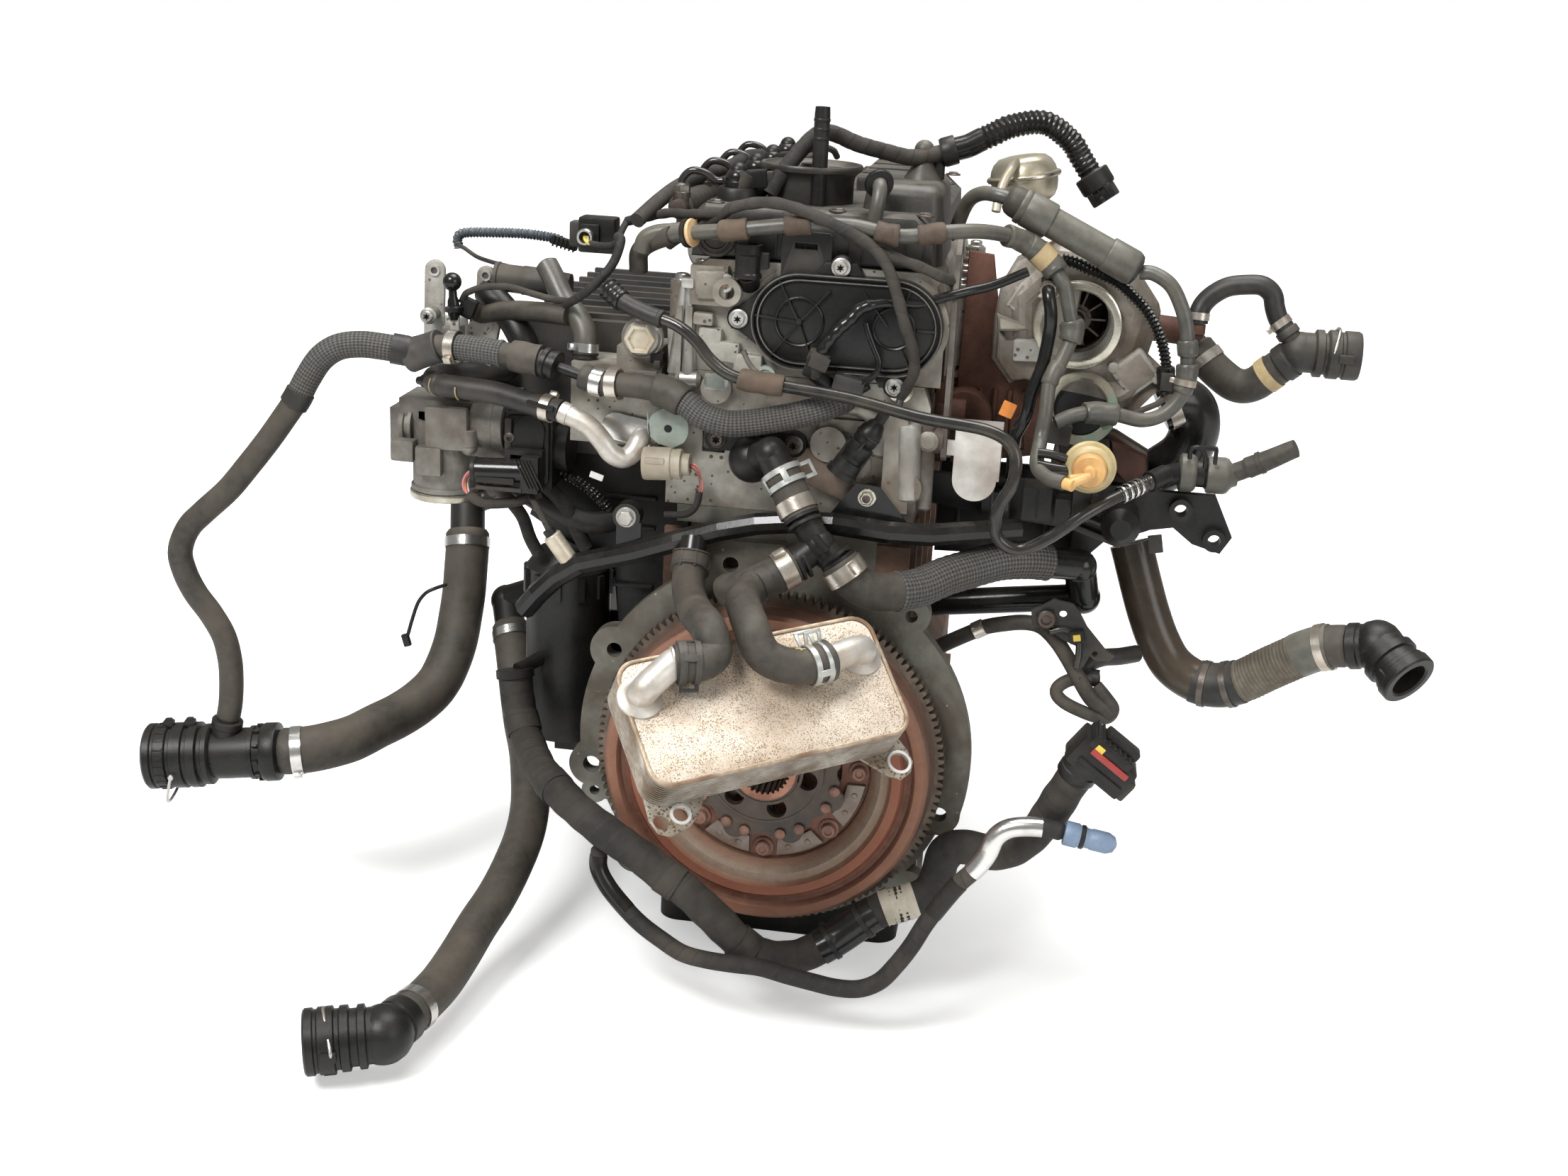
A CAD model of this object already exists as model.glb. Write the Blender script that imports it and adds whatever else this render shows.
import bpy, bmesh, math
from mathutils import Euler, Matrix, Vector


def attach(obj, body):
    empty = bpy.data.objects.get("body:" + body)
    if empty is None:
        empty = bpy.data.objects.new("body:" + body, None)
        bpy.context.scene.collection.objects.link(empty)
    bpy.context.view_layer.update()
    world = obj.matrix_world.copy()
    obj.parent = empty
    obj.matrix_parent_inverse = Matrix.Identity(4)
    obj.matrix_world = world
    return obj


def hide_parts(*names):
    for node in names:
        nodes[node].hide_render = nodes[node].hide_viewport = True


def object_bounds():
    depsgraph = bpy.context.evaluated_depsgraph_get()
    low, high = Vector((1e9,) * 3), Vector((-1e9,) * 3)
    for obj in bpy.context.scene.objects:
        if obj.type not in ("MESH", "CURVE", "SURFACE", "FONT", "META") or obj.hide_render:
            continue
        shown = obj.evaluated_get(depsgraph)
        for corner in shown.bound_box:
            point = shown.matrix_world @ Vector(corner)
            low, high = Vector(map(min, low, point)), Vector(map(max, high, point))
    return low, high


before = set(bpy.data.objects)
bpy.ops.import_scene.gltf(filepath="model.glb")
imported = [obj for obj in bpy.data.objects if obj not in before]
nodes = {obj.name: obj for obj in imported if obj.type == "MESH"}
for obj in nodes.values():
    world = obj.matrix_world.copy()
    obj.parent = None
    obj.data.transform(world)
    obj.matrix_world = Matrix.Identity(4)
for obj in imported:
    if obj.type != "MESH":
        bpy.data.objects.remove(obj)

cad_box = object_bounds()
MM = 0.001
scene = bpy.context.scene


# ---- camera, light, floor ---------------------------------------------------

CAMERA_AT = (0.186, -1.395, 0.595)
CAMERA_TURN, CAMERA_TILT, CAMERA_ROLL = 7.5, 18.0, 3.0
CAMERA_LENS, SENSOR_WIDTH = 43.13, 36
WORLD_LIGHT = 0.24
FLOOR_HALF, FLOOR_GAP = 8.0, 0.0005


def set_camera():
    """The camera that was solved from the photograph."""
    a, e, roll = (math.radians(v) for v in (CAMERA_TURN, CAMERA_TILT, CAMERA_ROLL))
    back = Vector((math.sin(a) * math.cos(e), -math.cos(a) * math.cos(e), math.sin(e)))
    right = Vector((math.cos(a), math.sin(a), 0))
    up = back.cross(right)
    r2 = math.cos(roll) * right + math.sin(roll) * up
    u2 = -math.sin(roll) * right + math.cos(roll) * up
    cam = bpy.data.cameras.new("camera")
    cam.sensor_width = SENSOR_WIDTH
    cam.lens = CAMERA_LENS
    cam.clip_start, cam.clip_end = 0.05, 50
    o = bpy.data.objects.new("camera", cam)
    m = Matrix((r2, u2, back)).transposed().to_4x4()
    m.translation = CAMERA_AT
    o.matrix_world = m
    scene.collection.objects.link(o)
    scene.camera = o


def lamp(name, at, size, power, aim=(0, 0.1, 0.1)):
    """Rectangular area lamp at a place in metres, facing aim."""
    light = bpy.data.lights.new(name, "AREA")
    light.shape, light.size, light.size_y, light.energy = "RECTANGLE", size[0], size[1], power
    o = bpy.data.objects.new(name, light)
    o.location = at
    o.rotation_euler = (Vector(aim) - Vector(at)).to_track_quat("-Z", "Y").to_euler()
    scene.collection.objects.link(o)


class Graph:
    """A small helper for building node trees."""

    def __init__(self, tree):
        self.t = tree
        self.t.nodes.clear()

    def n(self, kind, **sets):
        node = self.t.nodes.new("ShaderNode" + kind)
        for k, v in sets.items():
            if hasattr(node, k):
                setattr(node, k, v)
            else:
                node.inputs[k.replace("_", " ")].default_value = v
        return node

    def link(self, a, b):
        self.t.links.new(a, b)

    def math(self, op, a, b=None, c=None):
        node = self.t.nodes.new("ShaderNodeMath")
        node.operation = op
        for i, v in enumerate((a, b, c)):
            if v is None:
                continue
            if isinstance(v, (int, float)):
                node.inputs[i].default_value = v
            else:
                self.link(v, node.inputs[i])
        return node.outputs[0]

    def ramp(self, fac, stops, interpolation="LINEAR"):
        node = self.t.nodes.new("ShaderNodeValToRGB")
        cr = node.color_ramp
        cr.interpolation = interpolation
        while len(cr.elements) < len(stops):
            cr.elements.new(0.5)
        for el, (at, col) in zip(cr.elements, stops):
            el.position = at
            el.color = (*col, 1) if hasattr(col, "__len__") else (col, col, col, 1)
        self.link(fac, node.inputs[0])
        return node.outputs[0]

    def mix(self, fac, a, b, kind="MIX"):
        node = self.t.nodes.new("ShaderNodeMix")
        node.data_type = "RGBA"
        node.blend_type = kind
        for i, v in ((0, fac), (6, a), (7, b)):
            if isinstance(v, (int, float)):
                node.inputs[i].default_value = v
            elif isinstance(v, (tuple, list)):
                node.inputs[i].default_value = (*v, 1)
            else:
                self.link(v, node.inputs[i])
        return node.outputs[2]

    def noise(self, vec, scale, detail=5, rough=0.6, warp=0.0):
        node = self.n("TexNoise", Scale=scale, Detail=detail, Roughness=rough, Distortion=warp)
        self.link(vec, node.inputs["Vector"])
        return node.outputs["Fac"]


def world_and_floor():
    """World, floor and lamps; the floor is whiter to the camera further from the engine."""
    w = bpy.data.worlds.new("studio")
    scene.world = w
    w.use_nodes = True
    g = Graph(w.node_tree)
    out = g.n("OutputWorld")
    light, white = g.n("Background", Strength=WORLD_LIGHT), g.n("Background", Strength=1.0)
    light.inputs[0].default_value = (1, 0.985, 0.96, 1)
    white.inputs[0].default_value = (1, 1, 1, 1)
    path, mix = g.n("LightPath"), g.n("MixShader")
    g.link(path.outputs["Is Camera Ray"], mix.inputs[0])
    g.link(light.outputs[0], mix.inputs[1])
    g.link(white.outputs[0], mix.inputs[2])
    g.link(mix.outputs[0], out.inputs[0])
    me = bpy.data.meshes.new("floor")
    s = FLOOR_HALF
    me.from_pydata([(-s, -s, 0), (s, -s, 0), (s, s, 0), (-s, s, 0)], [], [(0, 1, 2, 3)])
    floor = bpy.data.objects.new("floor", me)
    floor.location.z = cad_box[0][2] - FLOOR_GAP
    scene.collection.objects.link(floor)
    m = bpy.data.materials.new("floor_white")
    m.use_nodes = True
    g = Graph(m.node_tree)
    out, dif, em = g.n("OutputMaterial"), g.n("BsdfDiffuse"), g.n("Emission")
    dif.inputs[0].default_value = (0.86, 0.86, 0.855, 1)
    path, pos, far = g.n("LightPath"), g.n("NewGeometry"), g.n("VectorMath", operation="LENGTH")
    g.link(pos.outputs["Position"], far.inputs[0])
    away = g.ramp(g.math("MULTIPLY", far.outputs["Value"], 0.25), [(0.16, 0.40), (0.5, 1.0)])
    g.link(g.math("MULTIPLY", path.outputs["Is Camera Ray"], away), em.inputs[1])
    add = g.n("AddShader")
    g.link(dif.outputs[0], add.inputs[0])
    g.link(em.outputs[0], add.inputs[1])
    g.link(add.outputs[0], out.inputs[0])
    me.materials.append(m)
    lamp("key", (-1.1, -2.0, 2.5), (1.1, 1.0), 100)
    lamp("fill", (2.2, -1.7, 1.2), (1.4, 1.4), 20)
    lamp("top", (0.2, 0.4, 2.6), (1.6, 1.6), 66)


set_camera()
world_and_floor()
scene.view_settings.view_transform = "Standard"


# ---- materials --------------------------------------------------------------

def mat(name, base, alt=None, rough=0.5, metal=0.0, grain=60, blotch=9, dirt=None, amount=0.35,
        bump=0.25, bump_scale=400, spread=0.18, coat=0.0, extra=None, uv=False, spec=0.5):
    """Base colour with fine grain, large blotches of dirt, uneven gloss and a fine bump."""
    alt = alt or tuple(c * 1.5 for c in base)
    dirt = dirt or tuple(c * 0.5 for c in base)
    m = bpy.data.materials.new(name)
    m.use_nodes = True
    g = Graph(m.node_tree)
    out, sh, tc = g.n("OutputMaterial"), g.n("BsdfPrincipled"), g.n("TexCoord")
    sh.inputs["Metallic"].default_value = metal
    sh.inputs["Coat Weight"].default_value = coat
    sh.inputs["Specular IOR Level"].default_value = spec
    vec = tc.outputs["UV" if uv else "Object"]
    fine = g.noise(vec, grain, 6, 0.65)
    big = g.noise(vec, blotch, 4, 0.6, 0.3)
    col = g.ramp(fine, [(0.3, base), (0.72, alt)])
    mask = g.ramp(big, [(0.62 - amount * 0.5, 0.0), (0.78 - amount * 0.3, 1.0)])
    col = g.mix(g.math("MULTIPLY", mask, min(1.0, amount * 1.8)), col, dirt)
    height = g.noise(vec, bump_scale, 3, 0.6)
    rgh = g.math("ADD", g.math("MULTIPLY", g.math("SUBTRACT", big, 0.5), spread * 2), rough)
    if extra:
        col, rgh, height = extra(g, tc, col, rgh, height)
    g.link(col, sh.inputs["Base Color"])
    g.link(g.math("MINIMUM", g.math("MAXIMUM", rgh, 0.08), 1.0), sh.inputs["Roughness"])
    b = g.n("Bump", Strength=bump, Distance=0.001)
    g.link(height, b.inputs["Height"])
    g.link(b.outputs[0], sh.inputs["Normal"])
    g.link(sh.outputs[0], out.inputs[0])
    return m


def speckles(colour, scale, size, blend=1.0):
    """Small spots of another colour, larger where a coarse noise is high."""
    def add(g, tc, col, rgh, height):
        v = g.n("TexVoronoi", Scale=scale)
        g.link(tc.outputs["Object"], v.inputs["Vector"])
        big = g.noise(tc.outputs["Object"], scale * 0.08, 3, 0.6)
        lim = g.math("MULTIPLY", big, size)
        spot = g.math("LESS_THAN", v.outputs["Distance"], lim)
        return g.mix(g.math("MULTIPLY", spot, blend), col, colour), rgh, height
    return add


def dust(colour, strength=0.55):
    """Dust that lies on what faces up."""
    def add(g, tc, col, rgh, height):
        geo = g.n("NewGeometry")
        sep = g.n("SeparateXYZ")
        g.link(geo.outputs["Normal"], sep.inputs[0])
        up = g.math("MAXIMUM", sep.outputs[2], 0.0)
        f = g.noise(tc.outputs["Object"], 35, 5, 0.7)
        k = g.math("MULTIPLY", g.math("MULTIPLY", up, strength), g.ramp(f, [(0.35, 0.15), (0.65, 1.0)]))
        return g.mix(k, col, colour), g.math("ADD", rgh, g.math("MULTIPLY", k, 0.3)), height
    return add


def wound(pitch, dark, depth=1.0):
    """Tape or braid that winds round a tube whose U runs along it in metres."""
    def add(g, tc, col, rgh, height):
        sep = g.n("SeparateXYZ")
        g.link(tc.outputs["UV"], sep.inputs[0])
        w = g.math("FRACT", g.math("ADD", g.math("DIVIDE", sep.outputs[0], pitch), sep.outputs[1]))
        edge = g.ramp(w, [(0.0, 0.0), (0.12, 1.0), (1.0, 0.72)])
        return g.mix(edge, dark, col), rgh, g.math("ADD", g.math("MULTIPLY", edge, depth), height)
    return add


def braid(pitch, dark):
    """Crossed strands of a braided hose, darker between them."""
    def add(g, tc, col, rgh, height):
        sep = g.n("SeparateXYZ")
        g.link(tc.outputs["UV"], sep.inputs[0])
        a = g.math("DIVIDE", sep.outputs[0], pitch)
        b = g.math("MULTIPLY", sep.outputs[1], 14.0)
        p = g.math("SINE", g.math("MULTIPLY", g.math("ADD", a, b), 6.2832))
        q = g.math("SINE", g.math("MULTIPLY", g.math("SUBTRACT", a, b), 6.2832))
        k = g.ramp(g.math("ADD", g.math("MULTIPLY", p, q), 0.5), [(0.0, 0.0), (0.7, 1.0)])
        return g.mix(k, dark, col), rgh, g.math("ADD", g.math("MULTIPLY", k, 1.5), height)
    return add


# Each line gives the name, the two base colours, roughness, metal, the scales of grain and
# blotches, the colour and amount of dirt, and the strength and scale of the bump.
iron = mat("iron_rust", (0.105, 0.062, 0.043), (0.21, 0.125, 0.085), 0.8, 0.15, 70, 12,
           (0.06, 0.045, 0.04), 0.4, 0.5, 260, extra=dust((0.26, 0.17, 0.11), 0.4))
alloy = mat("alloy_cast", (0.33, 0.325, 0.30), (0.50, 0.49, 0.46), 0.5, 0.55, 80, 11, (0.17, 0.14, 0.105),
            0.42, 0.35, 420)
alloy2 = mat("alloy_bright", (0.50, 0.50, 0.48), (0.66, 0.66, 0.64), 0.36, 0.8, 90, 14,
             (0.26, 0.22, 0.17), 0.3, 0.2, 500)
alloy_dark = mat("alloy_dirty", (0.16, 0.152, 0.132), (0.31, 0.295, 0.262), 0.6, 0.4, 70, 10,
                 (0.085, 0.065, 0.05), 0.5, 0.4, 320)
plastic = mat("plastic_black", (0.0065, 0.0065, 0.0066), (0.0125, 0.0125, 0.012), 0.38, 0.0, 300, 16,
              (0.033, 0.029, 0.023), 0.32, 0.18, 900, extra=dust((0.12, 0.105, 0.082), 0.15), spec=0.32)
gloss = mat("plastic_gloss", (0.007, 0.007, 0.007), (0.012, 0.012, 0.012), 0.2, 0.0, 200, 20,
            (0.034, 0.030, 0.024), 0.25, 0.06, 500, 0.08, extra=dust((0.13, 0.115, 0.09), 0.16), spec=0.4)
satin = mat("plastic_worn", (0.018, 0.018, 0.018), (0.034, 0.033, 0.030), 0.5, 0.0, 120, 12,
            (0.08, 0.068, 0.052), 0.4, 0.2, 700, extra=dust((0.2, 0.17, 0.13), 0.32), spec=0.35)
rubber = mat("rubber_dusty", (0.032, 0.029, 0.025), (0.066, 0.058, 0.048), 0.55, 0.0, 120, 16,
             (0.10, 0.085, 0.065), 0.38, 0.2, 700, extra=dust((0.17, 0.145, 0.115), 0.26), spec=0.3)
rubber_dk = mat("rubber_clean", (0.015, 0.015, 0.0145), (0.028, 0.026, 0.024), 0.45, 0.0, 150, 18,
                (0.075, 0.065, 0.052), 0.3, 0.15, 600, extra=dust((0.15, 0.13, 0.1), 0.18), spec=0.38)
satin_dark = mat("moulding_dark", (0.026, 0.026, 0.026), (0.046, 0.045, 0.043), 0.55, 0.0, 90, 12,
                 (0.085, 0.07, 0.055), 0.4, 0.2, 600)
tape = mat("tape_cloth", (0.010, 0.009, 0.008), (0.023, 0.020, 0.017), 0.78, 0.0, 160, 14,
           (0.085, 0.070, 0.054), 0.4, 0.45, 900, extra=wound(0.013, (0.028, 0.025, 0.022)))
steel = mat("steel_worn", (0.46, 0.44, 0.41), (0.62, 0.60, 0.57), 0.34, 0.9, 110, 20, (0.24, 0.17, 0.11),
            0.35, 0.15, 600)
silver = mat("steel_bright", (0.66, 0.65, 0.62), (0.80, 0.79, 0.77), 0.24, 0.95, 130, 24,
             (0.38, 0.33, 0.27), 0.22, 0.1, 600, 0.1)
rust = mat("rust_orange", (0.21, 0.088, 0.045), (0.34, 0.17, 0.095), 0.8, 0.1, 90, 16, (0.12, 0.06, 0.04),
           0.4, 0.35, 400)


def chain(*steps):
    """Applies several extras one after another."""
    def add(g, tc, col, rgh, height):
        for step in steps:
            col, rgh, height = step(g, tc, col, rgh, height)
        return col, rgh, height
    return add


def paint_bands(stops, scale, wander=0.004):
    """Base colour by distance from the crank axis, stained by the noise colour."""
    def add(g, tc, col, rgh, height):
        sep = g.n("SeparateXYZ")
        g.link(tc.outputs["Object"], sep.inputs[0])
        r = g.math("SQRT", g.math("ADD", g.math("POWER", sep.outputs[0], 2.0),
                                  g.math("POWER", sep.outputs[2], 2.0)))
        wob = g.math("MULTIPLY", g.math("SUBTRACT", g.noise(tc.outputs["Object"], 38, 5, 0.7), 0.5), wander)
        band = g.ramp(g.math("MULTIPLY", g.math("ADD", r, wob), scale), stops)
        f = g.noise(tc.outputs["Object"], 120, 6, 0.75)
        return g.mix(g.ramp(f, [(0.38, 0.0), (0.75, 0.6)]), band, col), rgh, height
    return add


braided = mat("braid_grey", (0.075, 0.072, 0.066), (0.125, 0.12, 0.11), 0.7, 0.0, 260, 18,
              (0.12, 0.10, 0.08), 0.3, 0.6, 900, extra=braid(0.006, (0.03, 0.029, 0.027)))
dark = mat("dark_inside", (0.006, 0.006, 0.006), (0.010, 0.010, 0.010), 0.8, 0.0, 60, 10)
cooler_face = mat("cooler_pale", (0.66, 0.56, 0.45), (0.82, 0.74, 0.63), 0.46, 0.3, 150, 13,
                  (0.46, 0.34, 0.235), 0.40, 0.3, 500, extra=chain(speckles((0.25, 0.165, 0.095), 600,
        0.60, 0.8), speckles((0.32, 0.22, 0.135), 260, 0.36, 0.8), speckles((0.14, 0.095, 0.055), 1000,
        0.52, 0.85)))
cooler_rim = mat("cooler_rim", (0.34, 0.25, 0.165), (0.58, 0.49, 0.38), 0.5, 0.5, 190, 30,
                 (0.17, 0.10, 0.055), 0.5, 0.4, 500)
cooler_side = mat("cooler_side", (0.33, 0.30, 0.25), (0.52, 0.48, 0.42), 0.5, 0.5, 130, 22,
                  (0.15, 0.105, 0.065), 0.5, 0.3, 500)
cooler_dark = mat("cooler_gap", (0.045, 0.036, 0.027), (0.085, 0.07, 0.052), 0.8, 0.2, 120, 22, None, 0.3,
                  0.2, 500)
cooler_ear = mat("cooler_ear", (0.36, 0.33, 0.28), (0.53, 0.50, 0.44), 0.48, 0.5, 150, 16,
                 (0.20, 0.14, 0.08), 0.5, 0.3, 500, extra=chain(speckles((0.14, 0.095, 0.05), 400, 0.7),
        speckles((0.2, 0.14, 0.08), 210, 0.4)))
white_zinc = mat("zinc_white", (0.74, 0.73, 0.70), (0.84, 0.83, 0.81), 0.4, 0.3, 160, 30,
                 (0.5, 0.46, 0.4), 0.3, 0.1, 500)
neck_metal = mat("neck_aluminium", (0.52, 0.49, 0.44), (0.70, 0.67, 0.62), 0.46, 0.6, 90, 30,
                 (0.36, 0.28, 0.20), 0.36, 0.15, 500)
cuff = mat("hose_cuff", (0.03, 0.029, 0.027), (0.055, 0.05, 0.045), 0.55, 0.0, 140, 22,
           (0.11, 0.09, 0.07), 0.35, 0.25, 700)
mark = mat("paint_mark", (0.40, 0.30, 0.15), (0.52, 0.41, 0.22), 0.6, 0.0, 160, 40, (0.3, 0.22, 0.12),
           0.4, 0.1, 600)
band_steel = mat("band_steel", (0.55, 0.50, 0.43), (0.76, 0.73, 0.67), 0.3, 0.85, 120, 26,
                 (0.30, 0.22, 0.14), 0.4, 0.15, 600)
spring_zinc = mat("spring_zinc", (0.42, 0.44, 0.42), (0.58, 0.60, 0.57), 0.38, 0.6, 130, 26,
                  (0.24, 0.2, 0.15), 0.35, 0.15, 600)
dish = mat("flywheel_dish", (0.21, 0.088, 0.05), (0.29, 0.155, 0.10), 0.58, 0.3, 110, 17,
           (0.09, 0.045, 0.03), 0.4, 0.35, 420, extra=paint_bands([(0.0, (0.16, 0.075, 0.05)),
        (0.44, (0.20, 0.09, 0.06)), (0.585, (0.15, 0.085, 0.06)), (0.60, (0.25, 0.14, 0.09)),
        (0.65, (0.29, 0.235, 0.18)), (0.695, (0.24, 0.17, 0.12)), (0.715, (0.24, 0.088, 0.05)),
        (0.775, (0.28, 0.10, 0.058)), (0.80, (0.10, 0.038, 0.024)), (0.83, (0.13, 0.058, 0.038)),
        (0.85, (0.25, 0.115, 0.07)), (0.905, (0.29, 0.145, 0.095)), (0.925, (0.12, 0.085, 0.065)),
        (1.0, (0.09, 0.07, 0.055))], 7.1))
gear = mat("gear_worn", (0.12, 0.095, 0.075), (0.27, 0.22, 0.17), 0.5, 0.6, 95, 15, (0.07, 0.05, 0.038),
           0.5, 0.3, 500)
plate_grey = mat("plate_grey", (0.22, 0.20, 0.175), (0.36, 0.335, 0.30), 0.55, 0.45, 95, 20,
                 (0.20, 0.11, 0.07), 0.45, 0.25, 500)
stud_rust = mat("stud_rust", (0.24, 0.12, 0.085), (0.34, 0.20, 0.15), 0.6, 0.35, 130, 30,
                (0.12, 0.07, 0.05), 0.4, 0.3, 500)
hub_dark = mat("hub_oiled", (0.032, 0.027, 0.023), (0.07, 0.057, 0.046), 0.42, 0.3, 80, 14,
               (0.12, 0.08, 0.055), 0.42, 0.3, 400)
copper = mat("spline_copper", (0.30, 0.13, 0.085), (0.42, 0.21, 0.15), 0.45, 0.6, 140, 30,
             (0.14, 0.06, 0.04), 0.4, 0.2, 500)
flange = mat("flange_oxide", (0.15, 0.15, 0.125), (0.25, 0.245, 0.21), 0.58, 0.4, 55, 13,
             (0.085, 0.066, 0.048), 0.5, 0.35, 320, extra=speckles((0.30, 0.295, 0.26), 90, 0.18))
steel_dark = mat("steel_oiled", (0.10, 0.09, 0.08), (0.19, 0.17, 0.15), 0.42, 0.7, 110, 20,
                 (0.08, 0.05, 0.035), 0.4, 0.2, 500)
head_alloy = mat("alloy_head", (0.36, 0.345, 0.30), (0.56, 0.54, 0.48), 0.5, 0.4, 70, 12,
                 (0.15, 0.12, 0.09), 0.5, 0.4, 320, extra=speckles((0.12, 0.095, 0.07), 120, 0.3))
conduit_blue = mat("conduit_blue_black", (0.028, 0.036, 0.045), (0.055, 0.07, 0.085), 0.4, 0.0, 160, 24,
                   (0.10, 0.10, 0.09), 0.3, 0.15, 600, extra=dust((0.24, 0.26, 0.27), 0.4))
hose_grey = mat("hose_grey", (0.050, 0.050, 0.043), (0.088, 0.086, 0.075), 0.36, 0.0, 120, 16,
                (0.12, 0.105, 0.08), 0.38, 0.12, 600, extra=dust((0.26, 0.24, 0.19), 0.3), spec=0.45)
alloy_spot = mat("alloy_oxide", (0.42, 0.41, 0.37), (0.60, 0.59, 0.55), 0.55, 0.5, 70, 13,
                 (0.22, 0.19, 0.15), 0.42, 0.35, 400, extra=speckles((0.16, 0.14, 0.11), 150, 0.42))
alloy_shine = mat("alloy_polished", (0.46, 0.45, 0.42), (0.68, 0.67, 0.63), 0.38, 0.7, 60, 11,
                  (0.20, 0.17, 0.135), 0.4, 0.25, 420)
zinc_green = mat("zinc_green", (0.33, 0.40, 0.35), (0.46, 0.53, 0.48), 0.5, 0.35, 90, 15,
                 (0.20, 0.20, 0.17), 0.38, 0.2, 500)
brass_lip = mat("lip_brass", (0.50, 0.46, 0.36), (0.72, 0.70, 0.62), 0.26, 0.9, 80, 22,
                (0.20, 0.16, 0.10), 0.35, 0.1, 600)
rim_worn = mat("rim_worn", (0.10, 0.095, 0.085), (0.20, 0.19, 0.17), 0.5, 0.0, 140, 26,
               (0.05, 0.045, 0.04), 0.4, 0.1, 600)
cream_metal = mat("plug_cream", (0.55, 0.49, 0.38), (0.72, 0.66, 0.54), 0.42, 0.45, 120, 26,
                  (0.34, 0.26, 0.17), 0.35, 0.15, 500)
rust_cast = mat("cast_brown", (0.20, 0.15, 0.115), (0.31, 0.24, 0.19), 0.68, 0.3, 70, 13,
                (0.10, 0.07, 0.05), 0.45, 0.4, 320)
wood_washer = mat("washer_cream", (0.55, 0.36, 0.17), (0.72, 0.50, 0.28), 0.5, 0.0, 120, 30,
                  (0.30, 0.18, 0.09), 0.35, 0.1, 500)
sleeve_brown = mat("sleeve_brown", (0.052, 0.036, 0.026), (0.092, 0.066, 0.049), 0.66, 0.0, 130, 18,
                   (0.14, 0.10, 0.068), 0.4, 0.25, 600, spec=0.35)
olive = mat("moulding_olive", (0.072, 0.071, 0.058), (0.125, 0.122, 0.102), 0.4, 0.0, 110, 14,
            (0.055, 0.048, 0.036), 0.4, 0.15, 600, extra=dust((0.34, 0.32, 0.26), 0.34), spec=0.45)
gloss_pipe = mat("pipe_gloss", (0.022, 0.022, 0.021), (0.042, 0.040, 0.036), 0.16, 0.25, 90, 20,
                 (0.075, 0.065, 0.05), 0.35, 0.04, 500, 0.35)
gold_pale = mat("gold_zinc", (0.50, 0.45, 0.33), (0.70, 0.65, 0.52), 0.34, 0.6, 80, 16,
                (0.30, 0.24, 0.15), 0.38, 0.12, 500)
alloy_brown = mat("alloy_heated", (0.25, 0.222, 0.185), (0.42, 0.385, 0.335), 0.54, 0.4, 75, 12,
                  (0.13, 0.10, 0.072), 0.5, 0.4, 360)
patina = mat("patina_ring", (0.24, 0.20, 0.15), (0.38, 0.34, 0.27), 0.55, 0.4, 60, 22, (0.12, 0.30, 0.22),
             0.42, 0.35, 380)
rust_dark = mat("rust_dark", (0.085, 0.035, 0.023), (0.155, 0.070, 0.045), 0.75, 0.15, 80, 14,
                (0.05, 0.026, 0.02), 0.4, 0.4, 360)
enamel = mat("shield_white", (0.56, 0.54, 0.49), (0.76, 0.74, 0.70), 0.42, 0.35, 60, 16,
             (0.34, 0.24, 0.17), 0.4, 0.25, 400)
yellow_pale = mat("valve_pale", (0.52, 0.42, 0.20), (0.62, 0.52, 0.29), 0.38, 0.0, 120, 30,
                  (0.34, 0.25, 0.12), 0.35, 0.08, 600)
amber = mat("valve_amber", (0.64, 0.35, 0.11), (0.74, 0.47, 0.20), 0.4, 0.0, 120, 30, (0.42, 0.22, 0.08),
            0.32, 0.08, 600)
grey_box = mat("relay_grey", (0.22, 0.22, 0.21), (0.31, 0.31, 0.29), 0.5, 0.0, 140, 24,
               (0.12, 0.11, 0.09), 0.35, 0.1, 600)
cover_dusty = mat("cover_dusty", (0.012, 0.012, 0.012), (0.027, 0.026, 0.024), 0.38, 0.0, 90, 10,
                  (0.075, 0.068, 0.056), 0.44, 0.15, 500, extra=dust((0.22, 0.20, 0.165), 0.5), spec=0.4)
sleeve_tan = mat("sleeve_tan", (0.11, 0.096, 0.072), (0.21, 0.185, 0.145), 0.7, 0.0, 130, 18,
                 (0.06, 0.05, 0.038), 0.42, 0.25, 600, spec=0.3)
pipe_muddy = mat("pipe_muddy", (0.016, 0.015, 0.014), (0.032, 0.029, 0.025), 0.26, 0.0, 60, 8,
                 (0.12, 0.085, 0.055), 0.46, 0.1, 400, spec=0.45)
ink = mat("plastic_ink", (0.006, 0.006, 0.006), (0.011, 0.011, 0.0105), 0.34, 0.0, 200, 14,
          (0.034, 0.030, 0.024), 0.34, 0.12, 700, extra=dust((0.11, 0.10, 0.08), 0.14), spec=0.36)


def paint(node, m):
    """Gives a CAD node one material."""
    me = nodes[node].data
    me.materials.clear()
    me.materials.append(m)
    for p in me.polygons:
        p.material_index = 0


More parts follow.
